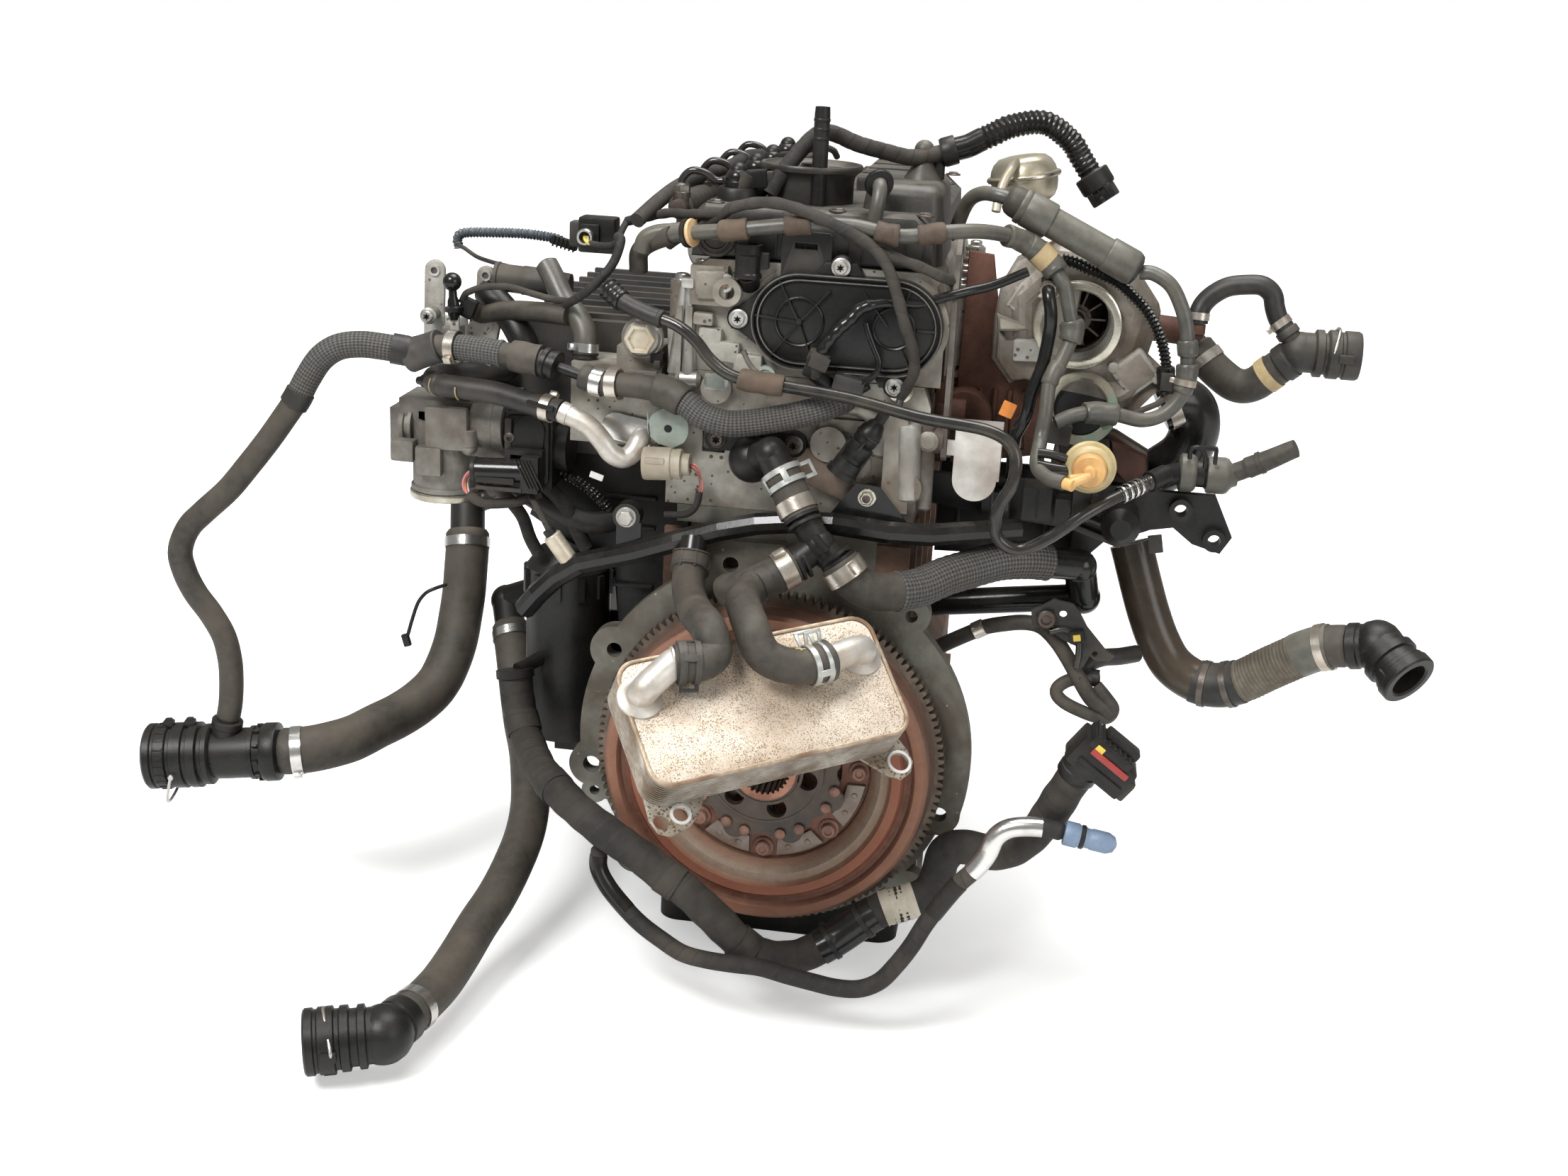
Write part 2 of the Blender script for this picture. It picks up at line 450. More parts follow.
# The block and the upper sump get two materials each, further on.
LOOK = {
    satin_dark: "intake_manifold",
    alloy_dark: "throttle_body lifting_bracket",
    head_alloy: "cylinder_head cam_housing",
    alloy_brown: "compressor_housing",
    rust_dark: "turbo_manifold bearing_housing",
    steel_dark: "turbo_rotor",
    enamel: "heat_shield",
    dish: "flywheel",
    gear: "ring_gear",
    hub_dark: "flywheel_hub",
    satin: "vacuum_valves crank_pulley",
    silver: "clamps",
    tape: "main_loom branch_cable",
    gloss: "coolant_pipe vacuum_pipe charge_pipe conduit",
    plastic: "oil_pan rocker_cover end_cover timing_cover throttle_motor filter_housing water_outlet "
             "coolant_tee solenoid_rack connectors lower_hose_elbow charge_hose_elbow upper_hose_tee "
             "injectors heater_connector",
    rubber: "cooler_hose_left cooler_hose_right outlet_hose braided_hose breather_hose head_hoses "
            "resonator heater_hose upper_hose return_hose lower_hose charge_hose",
    steel: "throttle_flap vane_rod vane_lever fuel_rail bolts crankshaft flywheel_cover oil_cooler "
           "vacuum_can",
}
for m, names in LOOK.items():
    for n in names.split():
        paint(n, m)


# ---- shapes -----------------------------------------------------------------

def curve_at(P, s):
    """Point s along the route's points, on the same smooth curve as the CAD tubes."""
    n = len(P) - 1
    i = min(int(s), n - 1)
    t = s - i
    b, c = P[i], P[i + 1]
    a = P[i - 1] if i > 0 else 2 * b - c
    d = P[i + 2] if i < n - 1 else 2 * c - b
    return 0.5 * (2 * b + (c - a) * t + (2 * a - 5 * b + 4 * c - d) * t * t + (3 * b - a - 3 * c
            + d) * t ** 3)


def sampled(P, step):
    """Points every `step` mm along the curve, with the length up to each."""
    P = [Vector(p) for p in P]
    fine = [curve_at(P, k / 12) for k in range(12 * (len(P) - 1) + 1)]
    cum = [0.0]
    for a, b in zip(fine, fine[1:]):
        cum.append(cum[-1] + (b - a).length)
    n = max(2, round(cum[-1] / step))
    pts, S, j = [], [], 0
    for k in range(n + 1):
        s = cum[-1] * k / n
        while j < len(cum) - 2 and cum[j + 1] < s:
            j += 1
        t = (s - cum[j]) / max(1e-9, cum[j + 1] - cum[j])
        pts.append(fine[j].lerp(fine[j + 1], t))
        S.append(s)
    return pts, S


def at_length(P, s):
    """Point and direction at s mm along a route; negative s counts from its end."""
    pts, S = sampled(P, 1.0)
    if s < 0:
        s += S[-1]
    k = max(1, min(len(pts) - 2, round(s / S[-1] * (len(pts) - 1))))
    return pts[k], (pts[k + 1] - pts[k - 1]).normalized()


def square_to(d):
    d = Vector(d)
    return d.cross(Vector((0, 0, 1)) if abs(d.normalized().z) < 0.8 else Vector((1, 0, 0))).normalized()


def around(d, a):
    """The direction square to d at angle a round it."""
    u = square_to(d)
    return math.cos(a) * u + math.sin(a) * d.cross(u)


def polar(r, a):
    """X and Z at radius r and angle a, in degrees."""
    return r * math.cos(math.radians(a)), r * math.sin(math.radians(a))


def tilted(k):
    """Axes of a block that leans by k in Z for each step in X."""
    return (1, 0, k), (0, 1, 0)


class Piece:
    """One visible piece, built from several shapes. Sizes are in mm, in the part's frame."""

    def __init__(self, name, body="engine"):
        self.name, self.body, self.mats = name, body, []
        self.bm = bmesh.new()
        self.uv = self.bm.loops.layers.uv.new("UVMap")

    def slot_of(self, m):
        if m not in self.mats:
            self.mats.append(m)
        return self.mats.index(m)

    def grid(self, rows, m, U=None, closed=False, caps=(True, True)):
        idx, n = self.slot_of(m), len(rows[0])
        vs = [[self.bm.verts.new(p * MM) for p in row] for row in rows]
        k_max = len(rows) if closed else len(rows) - 1
        for k in range(k_max):
            a, b = vs[k], vs[(k + 1) % len(rows)]
            for j in range(n):
                f = self.bm.faces.new((a[j], a[(j + 1) % n], b[(j + 1) % n], b[j]))
                f.material_index, f.smooth = idx, True
                if U:
                    for l, (u, v) in zip(f.loops, ((U[k], j), (U[k], j + 1), (U[(k + 1) % len(U)], j + 1),
                                                   (U[(k + 1) % len(U)], j))):
                        l[self.uv].uv = (u * MM, v / n)
        if not closed:
            for row, on, flip in ((vs[0], caps[0], True), (vs[-1], caps[1], False)):
                if on:
                    f = self.bm.faces.new(row[::-1] if flip else row)
                    f.material_index, f.smooth = idx, True
        return self

    def tube(self, P, r, m, step=4.0, n=16, shape=None, caps=(True, True), part=None, twist=0.0):
        """Round tube along P. shape(s, L, angle) gives its radius where it isn't plain.

        part=(s0, s1) keeps only that stretch.
        """
        pts, S = sampled(P, step)
        L = S[-1]
        if part:
            lo, hi = (x if x >= 0 else L + x for x in part)
            m2 = max(2, round((hi - lo) / step))
            fine = sampled(P, 1.0)[0]
            pts, S = [], []
            for k in range(m2 + 1):
                s = lo + (hi - lo) * k / m2
                q = min(len(fine) - 2, int(s / L * (len(fine) - 1)))
                pts.append(fine[q].lerp(fine[q + 1], s / L * (len(fine) - 1) - q))
                S.append(s)
        rows, u = [], None
        for k, p in enumerate(pts):
            t = (pts[min(k + 1, len(pts) - 1)] - pts[max(k - 1, 0)]).normalized()
            u = square_to(t) if u is None else (u - u.dot(t) * t).normalized()
            w = t.cross(u)
            row = []
            for j in range(n):
                a = 2 * math.pi * j / n
                rr = shape(S[k], L, a) if shape else r
                row.append(p + rr * (math.cos(a + twist) * u + math.sin(a + twist) * w))
            rows.append(row)
        return self.grid(rows, m, S, caps=caps)

    def lathe(self, p, d, profile, m, n=40, closed=False, up=None, soft=0.0, caps=(True, True)):
        """Turned shape: profile is [radius, height along d]."""
        if soft:
            profile = soften(profile, soft, closed)
        d = Vector(d).normalized()
        u = square_to(d) if up is None else (Vector(up) - Vector(up).dot(d) * d).normalized()
        w = d.cross(u)
        p = Vector(p)
        rows = [[p + z * d + max(r,
                                 0.01) * (math.cos(2 * math.pi * j / n) * u
                                          + math.sin(2 * math.pi * j / n) * w) for j in range(n)] for r,
                z in profile]
        return self.grid(rows, m, [q[1] for q in profile], closed=closed, caps=caps)

    def rod(self, p, q, r, m, r2=None, n=24, soft=0.6):
        p, q = Vector(p), Vector(q)
        h = (q - p).length
        return self.lathe(p, q - p, [(r, 0), (r if r2 is None else r2, h)] if not soft
                          else [(r - soft, 0), (r, soft), (r if r2 is None else r2, h - soft),
                                ((r if r2 is None else r2) - soft, h)], m, n)

    def ball(self, p, r, m, n=20):
        prof = [(r * math.sin(math.pi * k / 10), -r * math.cos(math.pi * k / 10)) for k in range(1, 10)]
        return self.lathe(p, (0, 0, 1), prof, m, n)

    def block(self, centre, size, m, axes=None, bevel=1.0):
        """Box with rounded edges; axes are its X and Y directions."""
        x = Vector(axes[0]).normalized() if axes else Vector((1, 0, 0))
        y = Vector(axes[1]) if axes else Vector((0, 1, 0))
        y = (y - y.dot(x) * x).normalized()
        rot = Matrix((x, y, x.cross(y))).transposed().to_4x4()
        mtx = Matrix.Translation(Vector(centre) * MM) @ rot @ Matrix.Diagonal((*[s * MM for s in size], 1))
        g = bmesh.ops.create_cube(self.bm, size=1.0, matrix=mtx)
        edges = list({e for v in g["verts"] for e in v.link_edges})
        faces = list({f for v in g["verts"] for f in v.link_faces})
        idx = self.slot_of(m)
        for f in faces:
            f.material_index, f.smooth = idx, True
        if bevel:
            b = min(bevel, 0.45 * min(size))
            r = bmesh.ops.bevel(self.bm, geom=edges, offset=b * MM, segments=2, profile=0.6,
                                affect="EDGES", clamp_overlap=True)
            for f in r["faces"]:
                f.material_index, f.smooth = idx, True
        return self

    def plate(self, outline, y0, y1, m, holes=(), bevel=0.6, axes=((1, 0, 0), (0, 0, 1)), at=(0, 0, 0), n=24):
        """Outline drawn in X and Z (or in axes), from y0 to y1 along its normal, with round or
        drawn holes."""
        cu = bpy.data.curves.new("outline", "CURVE")
        cu.dimensions, cu.fill_mode = "2D", "BOTH"
        loops = [outline]
        for h in holes:
            loops.append([(h[0] + h[2] * math.cos(2 * math.pi * k / n),
                           h[1] + h[2] * math.sin(2 * math.pi * k / n)) for k in range(n)]
                         if not hasattr(h[0], "__len__") else h)
        for loop in loops:
            sp = cu.splines.new("POLY")
            sp.points.add(len(loop) - 1)
            for q, c in zip(sp.points, loop):
                q.co = (c[0] * MM, c[1] * MM, 0, 1)
            sp.use_cyclic_u = True
        cu.extrude = max(0.0, abs(y1 - y0) / 2 - bevel) * MM
        cu.bevel_depth, cu.bevel_resolution, cu.offset = bevel * MM, 1, -bevel * MM
        o = bpy.data.objects.new("outline", cu)
        scene.collection.objects.link(o)
        me = bpy.data.meshes.new_from_object(o.evaluated_get(bpy.context.evaluated_depsgraph_get()))
        bpy.data.objects.remove(o)
        bpy.data.curves.remove(cu)
        x, z = Vector(axes[0]).normalized(), Vector(axes[1])
        z = (z - z.dot(x) * x).normalized()
        nrm = z.cross(x)
        mtx = Matrix((x, z, x.cross(z))).transposed().to_4x4()
        mtx.translation = (Vector(at) + nrm * (y0 + y1) / 2) * MM
        me.transform(mtx)
        before = len(self.bm.faces)
        self.bm.from_mesh(me)
        self.bm.faces.ensure_lookup_table()
        idx = self.slot_of(m)
        for f in self.bm.faces[before:]:
            f.material_index, f.smooth = idx, True
        bpy.data.meshes.remove(me)
        return self

    def bolt(self, p, d, r, m, h=5, washer=True, plain=False):
        if washer:
            self.lathe(p, d, [(r + 1.8, 0), (r + 1.8, 1.0), (r + 1.3, 1.5)], m, 28)
        prof = [(r, 0.5), (r, h - 0.8), (r - 0.9, h)]
        self.lathe(p, d, prof, m, 24 if plain else 6)
        return self

    def band(self, P, s, r, m, w=8, t=1.0, lug=True, angle=0.0):
        """Flat steel band round a hose, with its screw or ear."""
        p, d = at_length(P, s)
        self.lathe(p - w / 2 * d, d, [(r, 0), (r + t, 0), (r + t, w), (r, w)], m, 40, closed=True)
        if lug:
            u = square_to(d)
            w2 = d.cross(u)
            q = math.cos(angle) * u + math.sin(angle) * w2
            self.block(p + (r + t + 1.6) * q, (w * 0.8, 6, 4), m, (d, d.cross(q)), 0.8)
        return self

    def done(self, *replaced, slot=None, angle=38):
        bmesh.ops.remove_doubles(self.bm, verts=self.bm.verts, dist=1e-6)
        bmesh.ops.recalc_face_normals(self.bm, faces=self.bm.faces)
        lim = math.radians(angle)
        for e in self.bm.edges:
            if len(e.link_faces) == 2 and e.calc_face_angle(0) > lim:
                e.smooth = False
        me = bpy.data.meshes.new(self.name)
        self.bm.to_mesh(me)
        self.bm.free()
        for m in self.mats:
            me.materials.append(m)
        o = bpy.data.objects.new(self.name, me)
        scene.collection.objects.link(o)
        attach(o, self.body)
        if replaced:
            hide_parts(*replaced)
        return o


def soften(profile, b, closed=False):
    """Cuts each corner of a profile by b."""
    P = [Vector(p) for p in profile]
    out = []
    for i, p in enumerate(P):
        if not closed and i in (0, len(P) - 1):
            out.append(tuple(p))
            continue
        a, c = P[i - 1], P[(i + 1) % len(P)]
        if (a - p).length > 2.2 * b and (c - p).length > 2.2 * b and abs((a - p).normalized().dot((c
                - p).normalized())) < 0.97:
            out += [tuple(p + b * (a - p).normalized()),
                    tuple(p + 0.3 * b * ((a - p).normalized() + (c - p).normalized())),
                    tuple(p + b * (c - p).normalized())]
        else:
            out.append(tuple(p))
    return out


def circle(x, z, r, n=32, a0=0, a1=360):
    return [(x + r * math.cos(math.radians(a0 + (a1 - a0) * k / n)),
             z + r * math.sin(math.radians(a0 + (a1 - a0) * k / n))) for k in range(n if a1 - a0 == 360
            else n + 1)]


def rounded_rect(w, h, r, n=6, x=0, z=0):
    out = []
    for cx, cz, a in ((w / 2 - r, h / 2 - r, 0), (-w / 2 + r, h / 2 - r, 90), (-w / 2 + r, -h / 2 + r,
            180), (w / 2 - r, -h / 2 + r, 270)):
        out += [(x + cx + r * math.cos(math.radians(a + 90 * k / n)),
                 z + cz + r * math.sin(math.radians(a + 90 * k / n))) for k in range(n + 1)]
    return out


# ---- routes, in mm, the same as the CAD model's -----------------------------

UPPER = [(-328, 230, 90), (-326, 223, 76), (-325, 215, 57), (-324, 206, 37), (-324, 195, 17), (-324, 181, -2),
    (-326, 163, -19), (-329, 140, -31), (-337, 116, -39), (-348, 92, -44), (-360, 66, -46), (-371, 42, -48),
    (-386, 27, -50), (-399, 17, -51), (-411, 12, -52), (-423, 10, -53)]
RETURN = [(-302, 20, 298), (-315, 17, 300), (-330, 14, 302), (-346, 11, 303), (-363, 8, 300), (-377, 6, 290),
    (-388, 4, 273), (-396, 2, 257), (-406, 1, 242), (-420, 0, 222), (-437, -1, 200), (-455, -2, 178),
    (-476, -3, 158), (-490, -4, 143), (-498, -4, 123), (-495, -4, 105), (-487, -3, 87), (-475, -2, 70),
    (-465, -1, 51), (-461, 0, 30), (-461, 1, 10), (-463, 2, -10), (-466, 2, -25)]
LOWER = [(-278, 200, 13), (-270, 184, -5), (-262, 166, -22), (-254, 148, -39), (-245, 128, -54),
         (-234, 106, -69), (-225, 82, -84), (-218, 58, -101), (-215, 30, -116), (-217, 0, -131),
         (-221, -32, -144), (-227, -66, -154), (-231, -102, -163), (-234, -138, -167), (-239, -168, -168),
         (-245, -192, -168)]
CHARGE = [(273, 122, 165), (278, 119, 151), (285, 115, 131), (293, 110, 110), (303, 104, 89), (316, 98, 71),
    (335, 92, 61), (354, 86, 61), (372, 80, 69), (388, 74, 82), (403, 68, 94), (417, 62, 105), (431, 56, 113),
    (446, 50, 117)]
HEATER = [(310, 166, 324), (316, 163, 318), (323, 160, 311), (332, 157, 304), (342, 154, 298),
          (351, 151, 297), (360, 148, 301), (369, 145, 310), (377, 142, 318)]
LOOM = [(-227, 42, 23), (-224, 38, 5), (-217, 30, -13), (-206, 14, -27), (-190, -10, -35), (-170, -34, -40),
    (-150, -52, -46), (-130, -62, -54), (-111, -66, -64), (-93, -68, -74), (-75, -70, -86), (-57, -72, -96),
    (-42, -74, -107), (-27, -74, -120), (-12, -74, -134), (4, -72, -146), (22, -70, -150), (39, -67, -147),
    (55, -63, -139), (70, -58, -129), (85, -54, -117), (101, -50, -106), (119, -46, -100), (134, -42, -93),
    (142, -38, -79), (145, -36, -63), (152, -38, -52), (167, -42, -48), (185, -46, -48), (201, -50, -39),
    (214, -54, -25), (224, -58, -7), (232, -62, 13), (240, -66, 32)]
BRANCH = [(-128, -56.6, -74.8), (-128, -61, -91), (-120, -64, -105), (-106, -68, -119), (-90, -73, -131),
    (-71, -79, -140), (-52, -86, -146), (-31, -92, -146), (-9, -97, -144), (12, -99, -143), (33, -99, -147),
    (54, -98, -151), (73, -97, -154), (91, -96, -153), (106, -95, -145), (117, -94, -131), (128, -93, -113),
    (138, -92, -92), (149, -90, -74), (160, -88, -58), (172, -87, -44), (180, -86, -31), (185, -85, -17),
    (194, -84, -9), (208, -83, -6), (223, -82, -6), (236, -82, -8)]
CONDUIT = [(105, 122, 473), (114, 123, 476), (123, 125, 481), (133, 127, 486), (142, 130, 491),
           (152, 133, 494), (162, 136, 496), (172, 139, 496), (181, 141, 492), (188, 143, 487),
           (195, 144, 481), (200, 144, 474), (205, 143, 467), (211, 142, 459)]
COOLER_LEFT = [(-69, -16, 165), (-69, -22, 156), (-68, -34, 147), (-61, -60, 141), (-47, -106, 146),
               (-29, -160, 155), (-22, -172, 143), (-25, -179, 139), (-31, -184, 138), (-39, -187, 138),
               (-47, -190, 138)]
COOLER_RIGHT = [(17, -50, 174), (8, -54, 169), (-3, -60, 162), (-13, -69, 157), (-15, -94, 156),
                (-7, -128, 157), (2, -158, 157), (7, -164, 148), (14, -165, 140), (24, -163, 135),
                (35, -157, 132), (46, -150, 132), (57, -141, 134)]
OUTLET = [(-2, -30, 241), (5, -34, 231), (12, -39, 219), (18, -43, 210)]
BRAIDED = [(49, -47, 178), (57, -48, 168), (66, -46, 160), (78, -40, 155), (92, -30, 153), (109, -14, 153),
    (127, 4, 158), (147, 22, 161), (168, 38, 164), (190, 52, 163), (206, 62, 160)]
VACUUM = [(-146, 8, 362), (-132, 0, 354), (-110, -8, 347), (-88, -14, 342), (-72, -18, 332), (-58, -22, 318),
    (-38, -26, 308), (0, -26, 304), (48, -26, 299), (102, -27, 289), (152, -30, 284), (172, -34, 272),
    (174, -38, 250), (164, -40, 226), (166, -40, 206), (182, -38, 197), (204, -32, 207), (232, -18, 226),
    (258, 4, 237), (276, 24, 242)]
BREATHER = [(-130, 40, 372), (-127, 36, 390), (-98, 14, 405), (-48, 0, 414), (-2, -2, 421), (38, -2, 423),
    (76, -2, 418), (111, 2, 423), (138, 18, 423), (162, 40, 416), (182, 46, 403), (197, 40, 386),
    (203, 36, 368), (207, 34, 350), (202, 29, 332), (194, 23, 314), (193, 16, 291), (191, 10, 271),
    (190, -12, 257), (198, -28, 252), (211, -37, 251)]
JOINT_LINE = [(-196, 5, 302), (-230, 9, 305), (-262, 14, 306), (-284, 18, 305)]
HEAD_LINE = [(-146, -5, 291), (-117, -10, 292), (-94, -14, 290), (-78, -19, 284), (-62, -22, 275),
    (-44, -22, 271.5), (-24, -19, 273.5), (-2, -15, 278), (20, -10, 284), (36, -2, 290), (40, 5, 291),
    (40, 14.7, 291)]
BYPASS_LINE = [(-250, 95, 275), (-251, 84, 275), (-262, 70, 276), (-282, 58, 276), (-292, 44, 276),
               (-294, 34, 275), (-284, 20, 274), (-262, 14, 274), (-235, 10, 273), (-205, 2, 269),
               (-178, -5, 266)]
S_PIPE = [(-178, -5, 266), (-166, -7, 262), (-154, -8, 256), (-144, -9, 246), (-137, -8, 237),
          (-129, -4, 233), (-122, 0, 237), (-118, 6, 246), (-118, 14.7, 246)]
UPPER_LINE = [(-276, 99.7, 318), (-270, 76, 322), (-252, 58, 328), (-230, 50, 332), (-206, 40, 334),
              (-184, 34, 334)]
ELBOW_LINE = [(-211, 64, 370), (-202, 58, 358), (-192, 50, 344), (-180, 42, 334), (-172, 36, 325),
              (-169, 32, 315), (-169, 30, 303.4)]
SMALL_LOOP = [(308, 146, 346), (308, 147, 354), (311, 149, 362), (318, 149, 370), (329, 148, 377),
              (344, 146, 380), (355, 144, 380), (363, 142, 374), (366, 140, 364), (370, 139, 355),
              (376, 137, 348)]
TURBO_RETURN = [(185, 53, 385.6), (187, 36, 377), (190, 33, 363), (190, 34, 347), (187, 31, 323),
    (181, 29, 303), (178, 29, 284), (172, 36, 268), (171, 50, 254), (171, 56, 240), (171, 56, 228.4)]
CHARGE_PIPE = [(282, 94, 286), (296, 96, 292), (308, 102, 284), (312, 108, 266), (306, 112, 246),
               (289, 117, 229), (270, 123, 213), (263, 128, 193), (271, 123, 171)]
RESONATOR_IN = [(105.8, 98, 409), (110, 98, 413), (116, 88, 431), (122, 76, 441), (131, 66, 446),
                (142, 58, 446), (152, 56, 444)]
RESONATOR_OUT = [(254, 56, 396), (264, 54, 396), (277, 50, 389), (286, 48, 375), (292, 46, 359),
                 (295, 44, 339), (296, 42, 320), (292, 40, 304), (281, 38, 292), (266, 36, 287),
                 (247, 34, 290), (228, 30, 291), (214, 24, 289), (201, 20, 283)]


def end_of(P):
    """The end point of a route and the way it leaves."""
    a, b = Vector(P[-1]), Vector(P[-2])
    return a, (a - b).normalized()


def start_of(P):
    """The start point of a route and the way out of it."""
    a, b = Vector(P[0]), Vector(P[1])
    return a, (a - b).normalized()


# ---- free hoses and wiring --------------------------------------------------

def soft_end(r, b=2.0):
    """Radius of a hose with a rounded lip at both ends."""
    def f(s, L, a):
        e = min(s, L - s)
        return r - (b * (1 - math.sqrt(max(0.0, 1 - (1 - e / b) ** 2))) if e < b else 0)
    return f


def declare(name, P, r, m, node, shape=None, step=3.0,
            n=20, extra=None):
    q = Piece(name)
    q.tube(P, r, m, step, n, shape or soft_end(r))
    if extra:
        extra(q)
    o = q.done(node)
    pts, _ = sampled(P, 6.0)
    Vector(P[0]) * MM
    [p * MM for p in pts]
    return o


def upper_tee():
    """Quick connector of the upper hose, with a branch for the return hose."""
    e, d = end_of(UPPER)
    b, bd = end_of(RETURN)
    q = Piece("upper_tee_look")
    q.lathe(e, d, [(15, -1), (21, 0.5), (24.5, 1.2), (25, 3), (25, 12), (24, 14), (21.5, 14.6),
                   (21.5, 52), (21, 56)], plastic, 44, caps=(True, False))
    q.lathe(e, d, [(21.5, 20), (23, 20.5), (23, 24), (21.5, 24.5)], plastic, 44, caps=(False, False))
    for k in range(10):
        c = around(d, math.radians(36 * k))
        q.block(e + 17 * d + 23 * c, (5, 3, 3), plastic, (d, c), 0.6)
    R = 28
    q.lathe(e, d, [(21, 56), (25, 57), (26, 58), (26, 62), (24, 63), (24, 66), (R, 67), (R, 74),
                   (R - 2.2, 75), (R - 2.2, 78), (R, 79), (R, 88), (R - 2, 89), (R - 2, 91.5), (R, 92.5),
                   (R, 101), (R - 1.6, 102), (R - 1.6, 104), (R, 105), (R, 110), (R - 2, 112),
                   (20.5, 112), (19, 110.5), (18.4, 106), (18.4, 77), (3, 76.5)], plastic, 56,
            caps=(False, True))
    # outer ribs of the locking ring
    for k in range(22):
        c = around(d, math.radians(360 / 22 * k))
        q.block(e + 97 * d + (R - 0.3) * c, (8, 2.6, 2), plastic, (d, d.cross(c)), 0.5)
    # branch with its collar
    q.lathe(b, bd, [(8, -0.5), (12, 0), (13, 1), (13, 6), (11.5, 7), (11.5, 22), (14.5, 25), (15, 30),
                    (9, 40)], plastic, 36, caps=(True, True))
    up = Vector((0, 0, 1))
    for t in (76, 94):
        q.block(e + t * d + up * (R + 1.2), (9, 8, 6), plastic, (d, up.cross(d)), 1.5)
        q.block(e + t * d + up * (R + 4.6), (6, 5, 3), plastic, (d, up.cross(d)), 1.2)
    # wire bail that hangs under the lock
    side = up.cross(d).normalized()
    for s in (-1, 1):
        q.rod(e + 86 * d + side * s * (R - 2) - up * 8, e + 86 * d + side * s * (R + 3) - up * 8, 2.4, steel)
    c0 = e + 86 * d
    bail = [c0 + side * (R + 2) - up * 8, c0 + side * (R + 1) - up * 16 + d * 2,
            c0 + side * (R - 6) - up * 30 + d * 6, c0 + side * 8 - up * 39 + d * 9,
            c0 - side * 8 - up * 39 + d * 9, c0 - side * (R - 6) - up * 30 + d * 6,
            c0 - side * (R + 1) - up * 16 + d * 2, c0 - side * (R + 2) - up * 8]
    q.tube(bail, 1.3, steel, 2.5, 8)
    return q.done("upper_hose_tee")


def lower_elbow():
    """Elbow connector of the lower hose."""
    e, d = end_of(LOWER)
    knee = e + 27 * d
    o = Vector((-17, -6, -1)).normalized()
    q = Piece("lower_elbow_look")
    q.lathe(e, d, [(12, -0.5), (18.5, 0), (19.5, 1.5), (19.5, 12), (18, 13), (18, 22)], plastic, 40)
    q.ball(knee, 22.8, plastic, 32)
    q.lathe(knee, o, [(14, -12), (21, -4), (21, 12), (24, 13), (24, 18), (21.5, 19), (21.5, 24),
                      (24.5, 25), (24.5, 31), (22.5, 32), (22.5, 35), (25, 36), (25, 47), (23.5, 48),
                      (23.5, 50), (25, 51), (25, 56.5), (23.5, 58), (19.5, 58), (17.8, 56), (17.8, 27),
                      (3, 26.5)], plastic, 48, caps=(True, True))
    side = Vector((0, 0, 1)).cross(o).normalized()
    up = o.cross(side)
    for s in (-1, 1):
        q.block(knee + 40 * o + side * s * 24.5, (12, 8, 6), plastic, (o, up), 1.4)
    q.block(knee + 41 * o + up * -26, (10, 9, 4), plastic, (o, side), 1.2)
    bail = [knee + 38 * o + side * s * 25.5 + up * z for s,
            z in ((1, 0), (1, 7))] + [knee + 42 * o + up * 26, knee + 38 * o - side * 25.5 + up * 7,
                                      knee + 38 * o - side * 25.5]
    q.tube(bail, 1.3, steel, 2.5, 8)
    return q.done("lower_hose_elbow")


def charge_elbow():
    """Elbow connector of the charge hose."""
    e, d = end_of(CHARGE)
    knee = e + 22 * d
    o = Vector((4, -5, -3)).normalized()
    q = Piece("charge_elbow_look")
    q.lathe(e, d, [(12, -0.5), (17.5, 0), (18.5, 1.2), (18.5, 8), (17.4, 9), (17.4, 18)], plastic, 40)
    q.ball(knee, 20.3, plastic, 32)
    q.lathe(knee, o, [(12, -10), (19.5, -2), (19.5, 12), (22, 13), (22, 19), (19.8, 20), (19.8, 26),
                      (21.5, 27), (21.5, 30), (23, 31), (23, 38.5), (21.8, 40), (16.5, 40), (14.8, 38.5),
                      (14.8, 18), (3, 17.5)], plastic, 44, caps=(True, True))
    side = Vector((0, 0, 1)).cross(o).normalized()
    for s in (-1, 1):
        q.block(knee + 30 * o + side * s * 21.5, (10, 7, 4), plastic, (o, Vector((0, 0, 1))), 1.2)
    return q.done("charge_hose_elbow")


def heater_end():
    """Elbow connector of the heater hose, and the stub of the small loop."""
    e, d = end_of(HEATER)
    knee = e + 18.5 * d
    x = Vector((1, 0, 0))
    q = Piece("heater_connector_look")
    q.lathe(e, d, [(10, -0.5), (14.5, 0), (15.5, 1), (15.5, 9), (14.5, 10), (14.5, 16)], satin, 36)
    q.ball(knee, 16.4, satin, 30)
    q.lathe(knee, x, [(10, -6), (16, 0), (16, 10), (19, 11.5), (19, 17), (16.5, 18), (16.5, 20),
                      (18.6, 21), (19.5, 22), (19.5, 30), (18, 31), (18, 33), (19.5, 34), (19.5, 44),
                      (18.5, 46), (15.5, 46), (14, 44), (14, 15), (3, 14.5)], satin, 44,
            caps=(True, True))
    l, ld = end_of(SMALL_LOOP)
    q.lathe(l, ld, [(5, -0.3), (9, 0), (9.5, 1), (9.5, 6), (8, 7), (6.5, 14)], satin, 28)
    for s in (-1, 1):
        q.block(knee + Vector((34, 0, 0)) + Vector((0, s * 18.5, 0)), (12, 5, 7), satin, bevel=1.2)
    q.tube([knee + Vector(v) for v in ((24, -18, 4), (26, -15, 13), (28, -6, 20), (28, 6, 20),
                                       (26, 15, 13), (24, 18, 4))], 1.2, steel, 2.5, 8)
    return q.done("heater_connector")


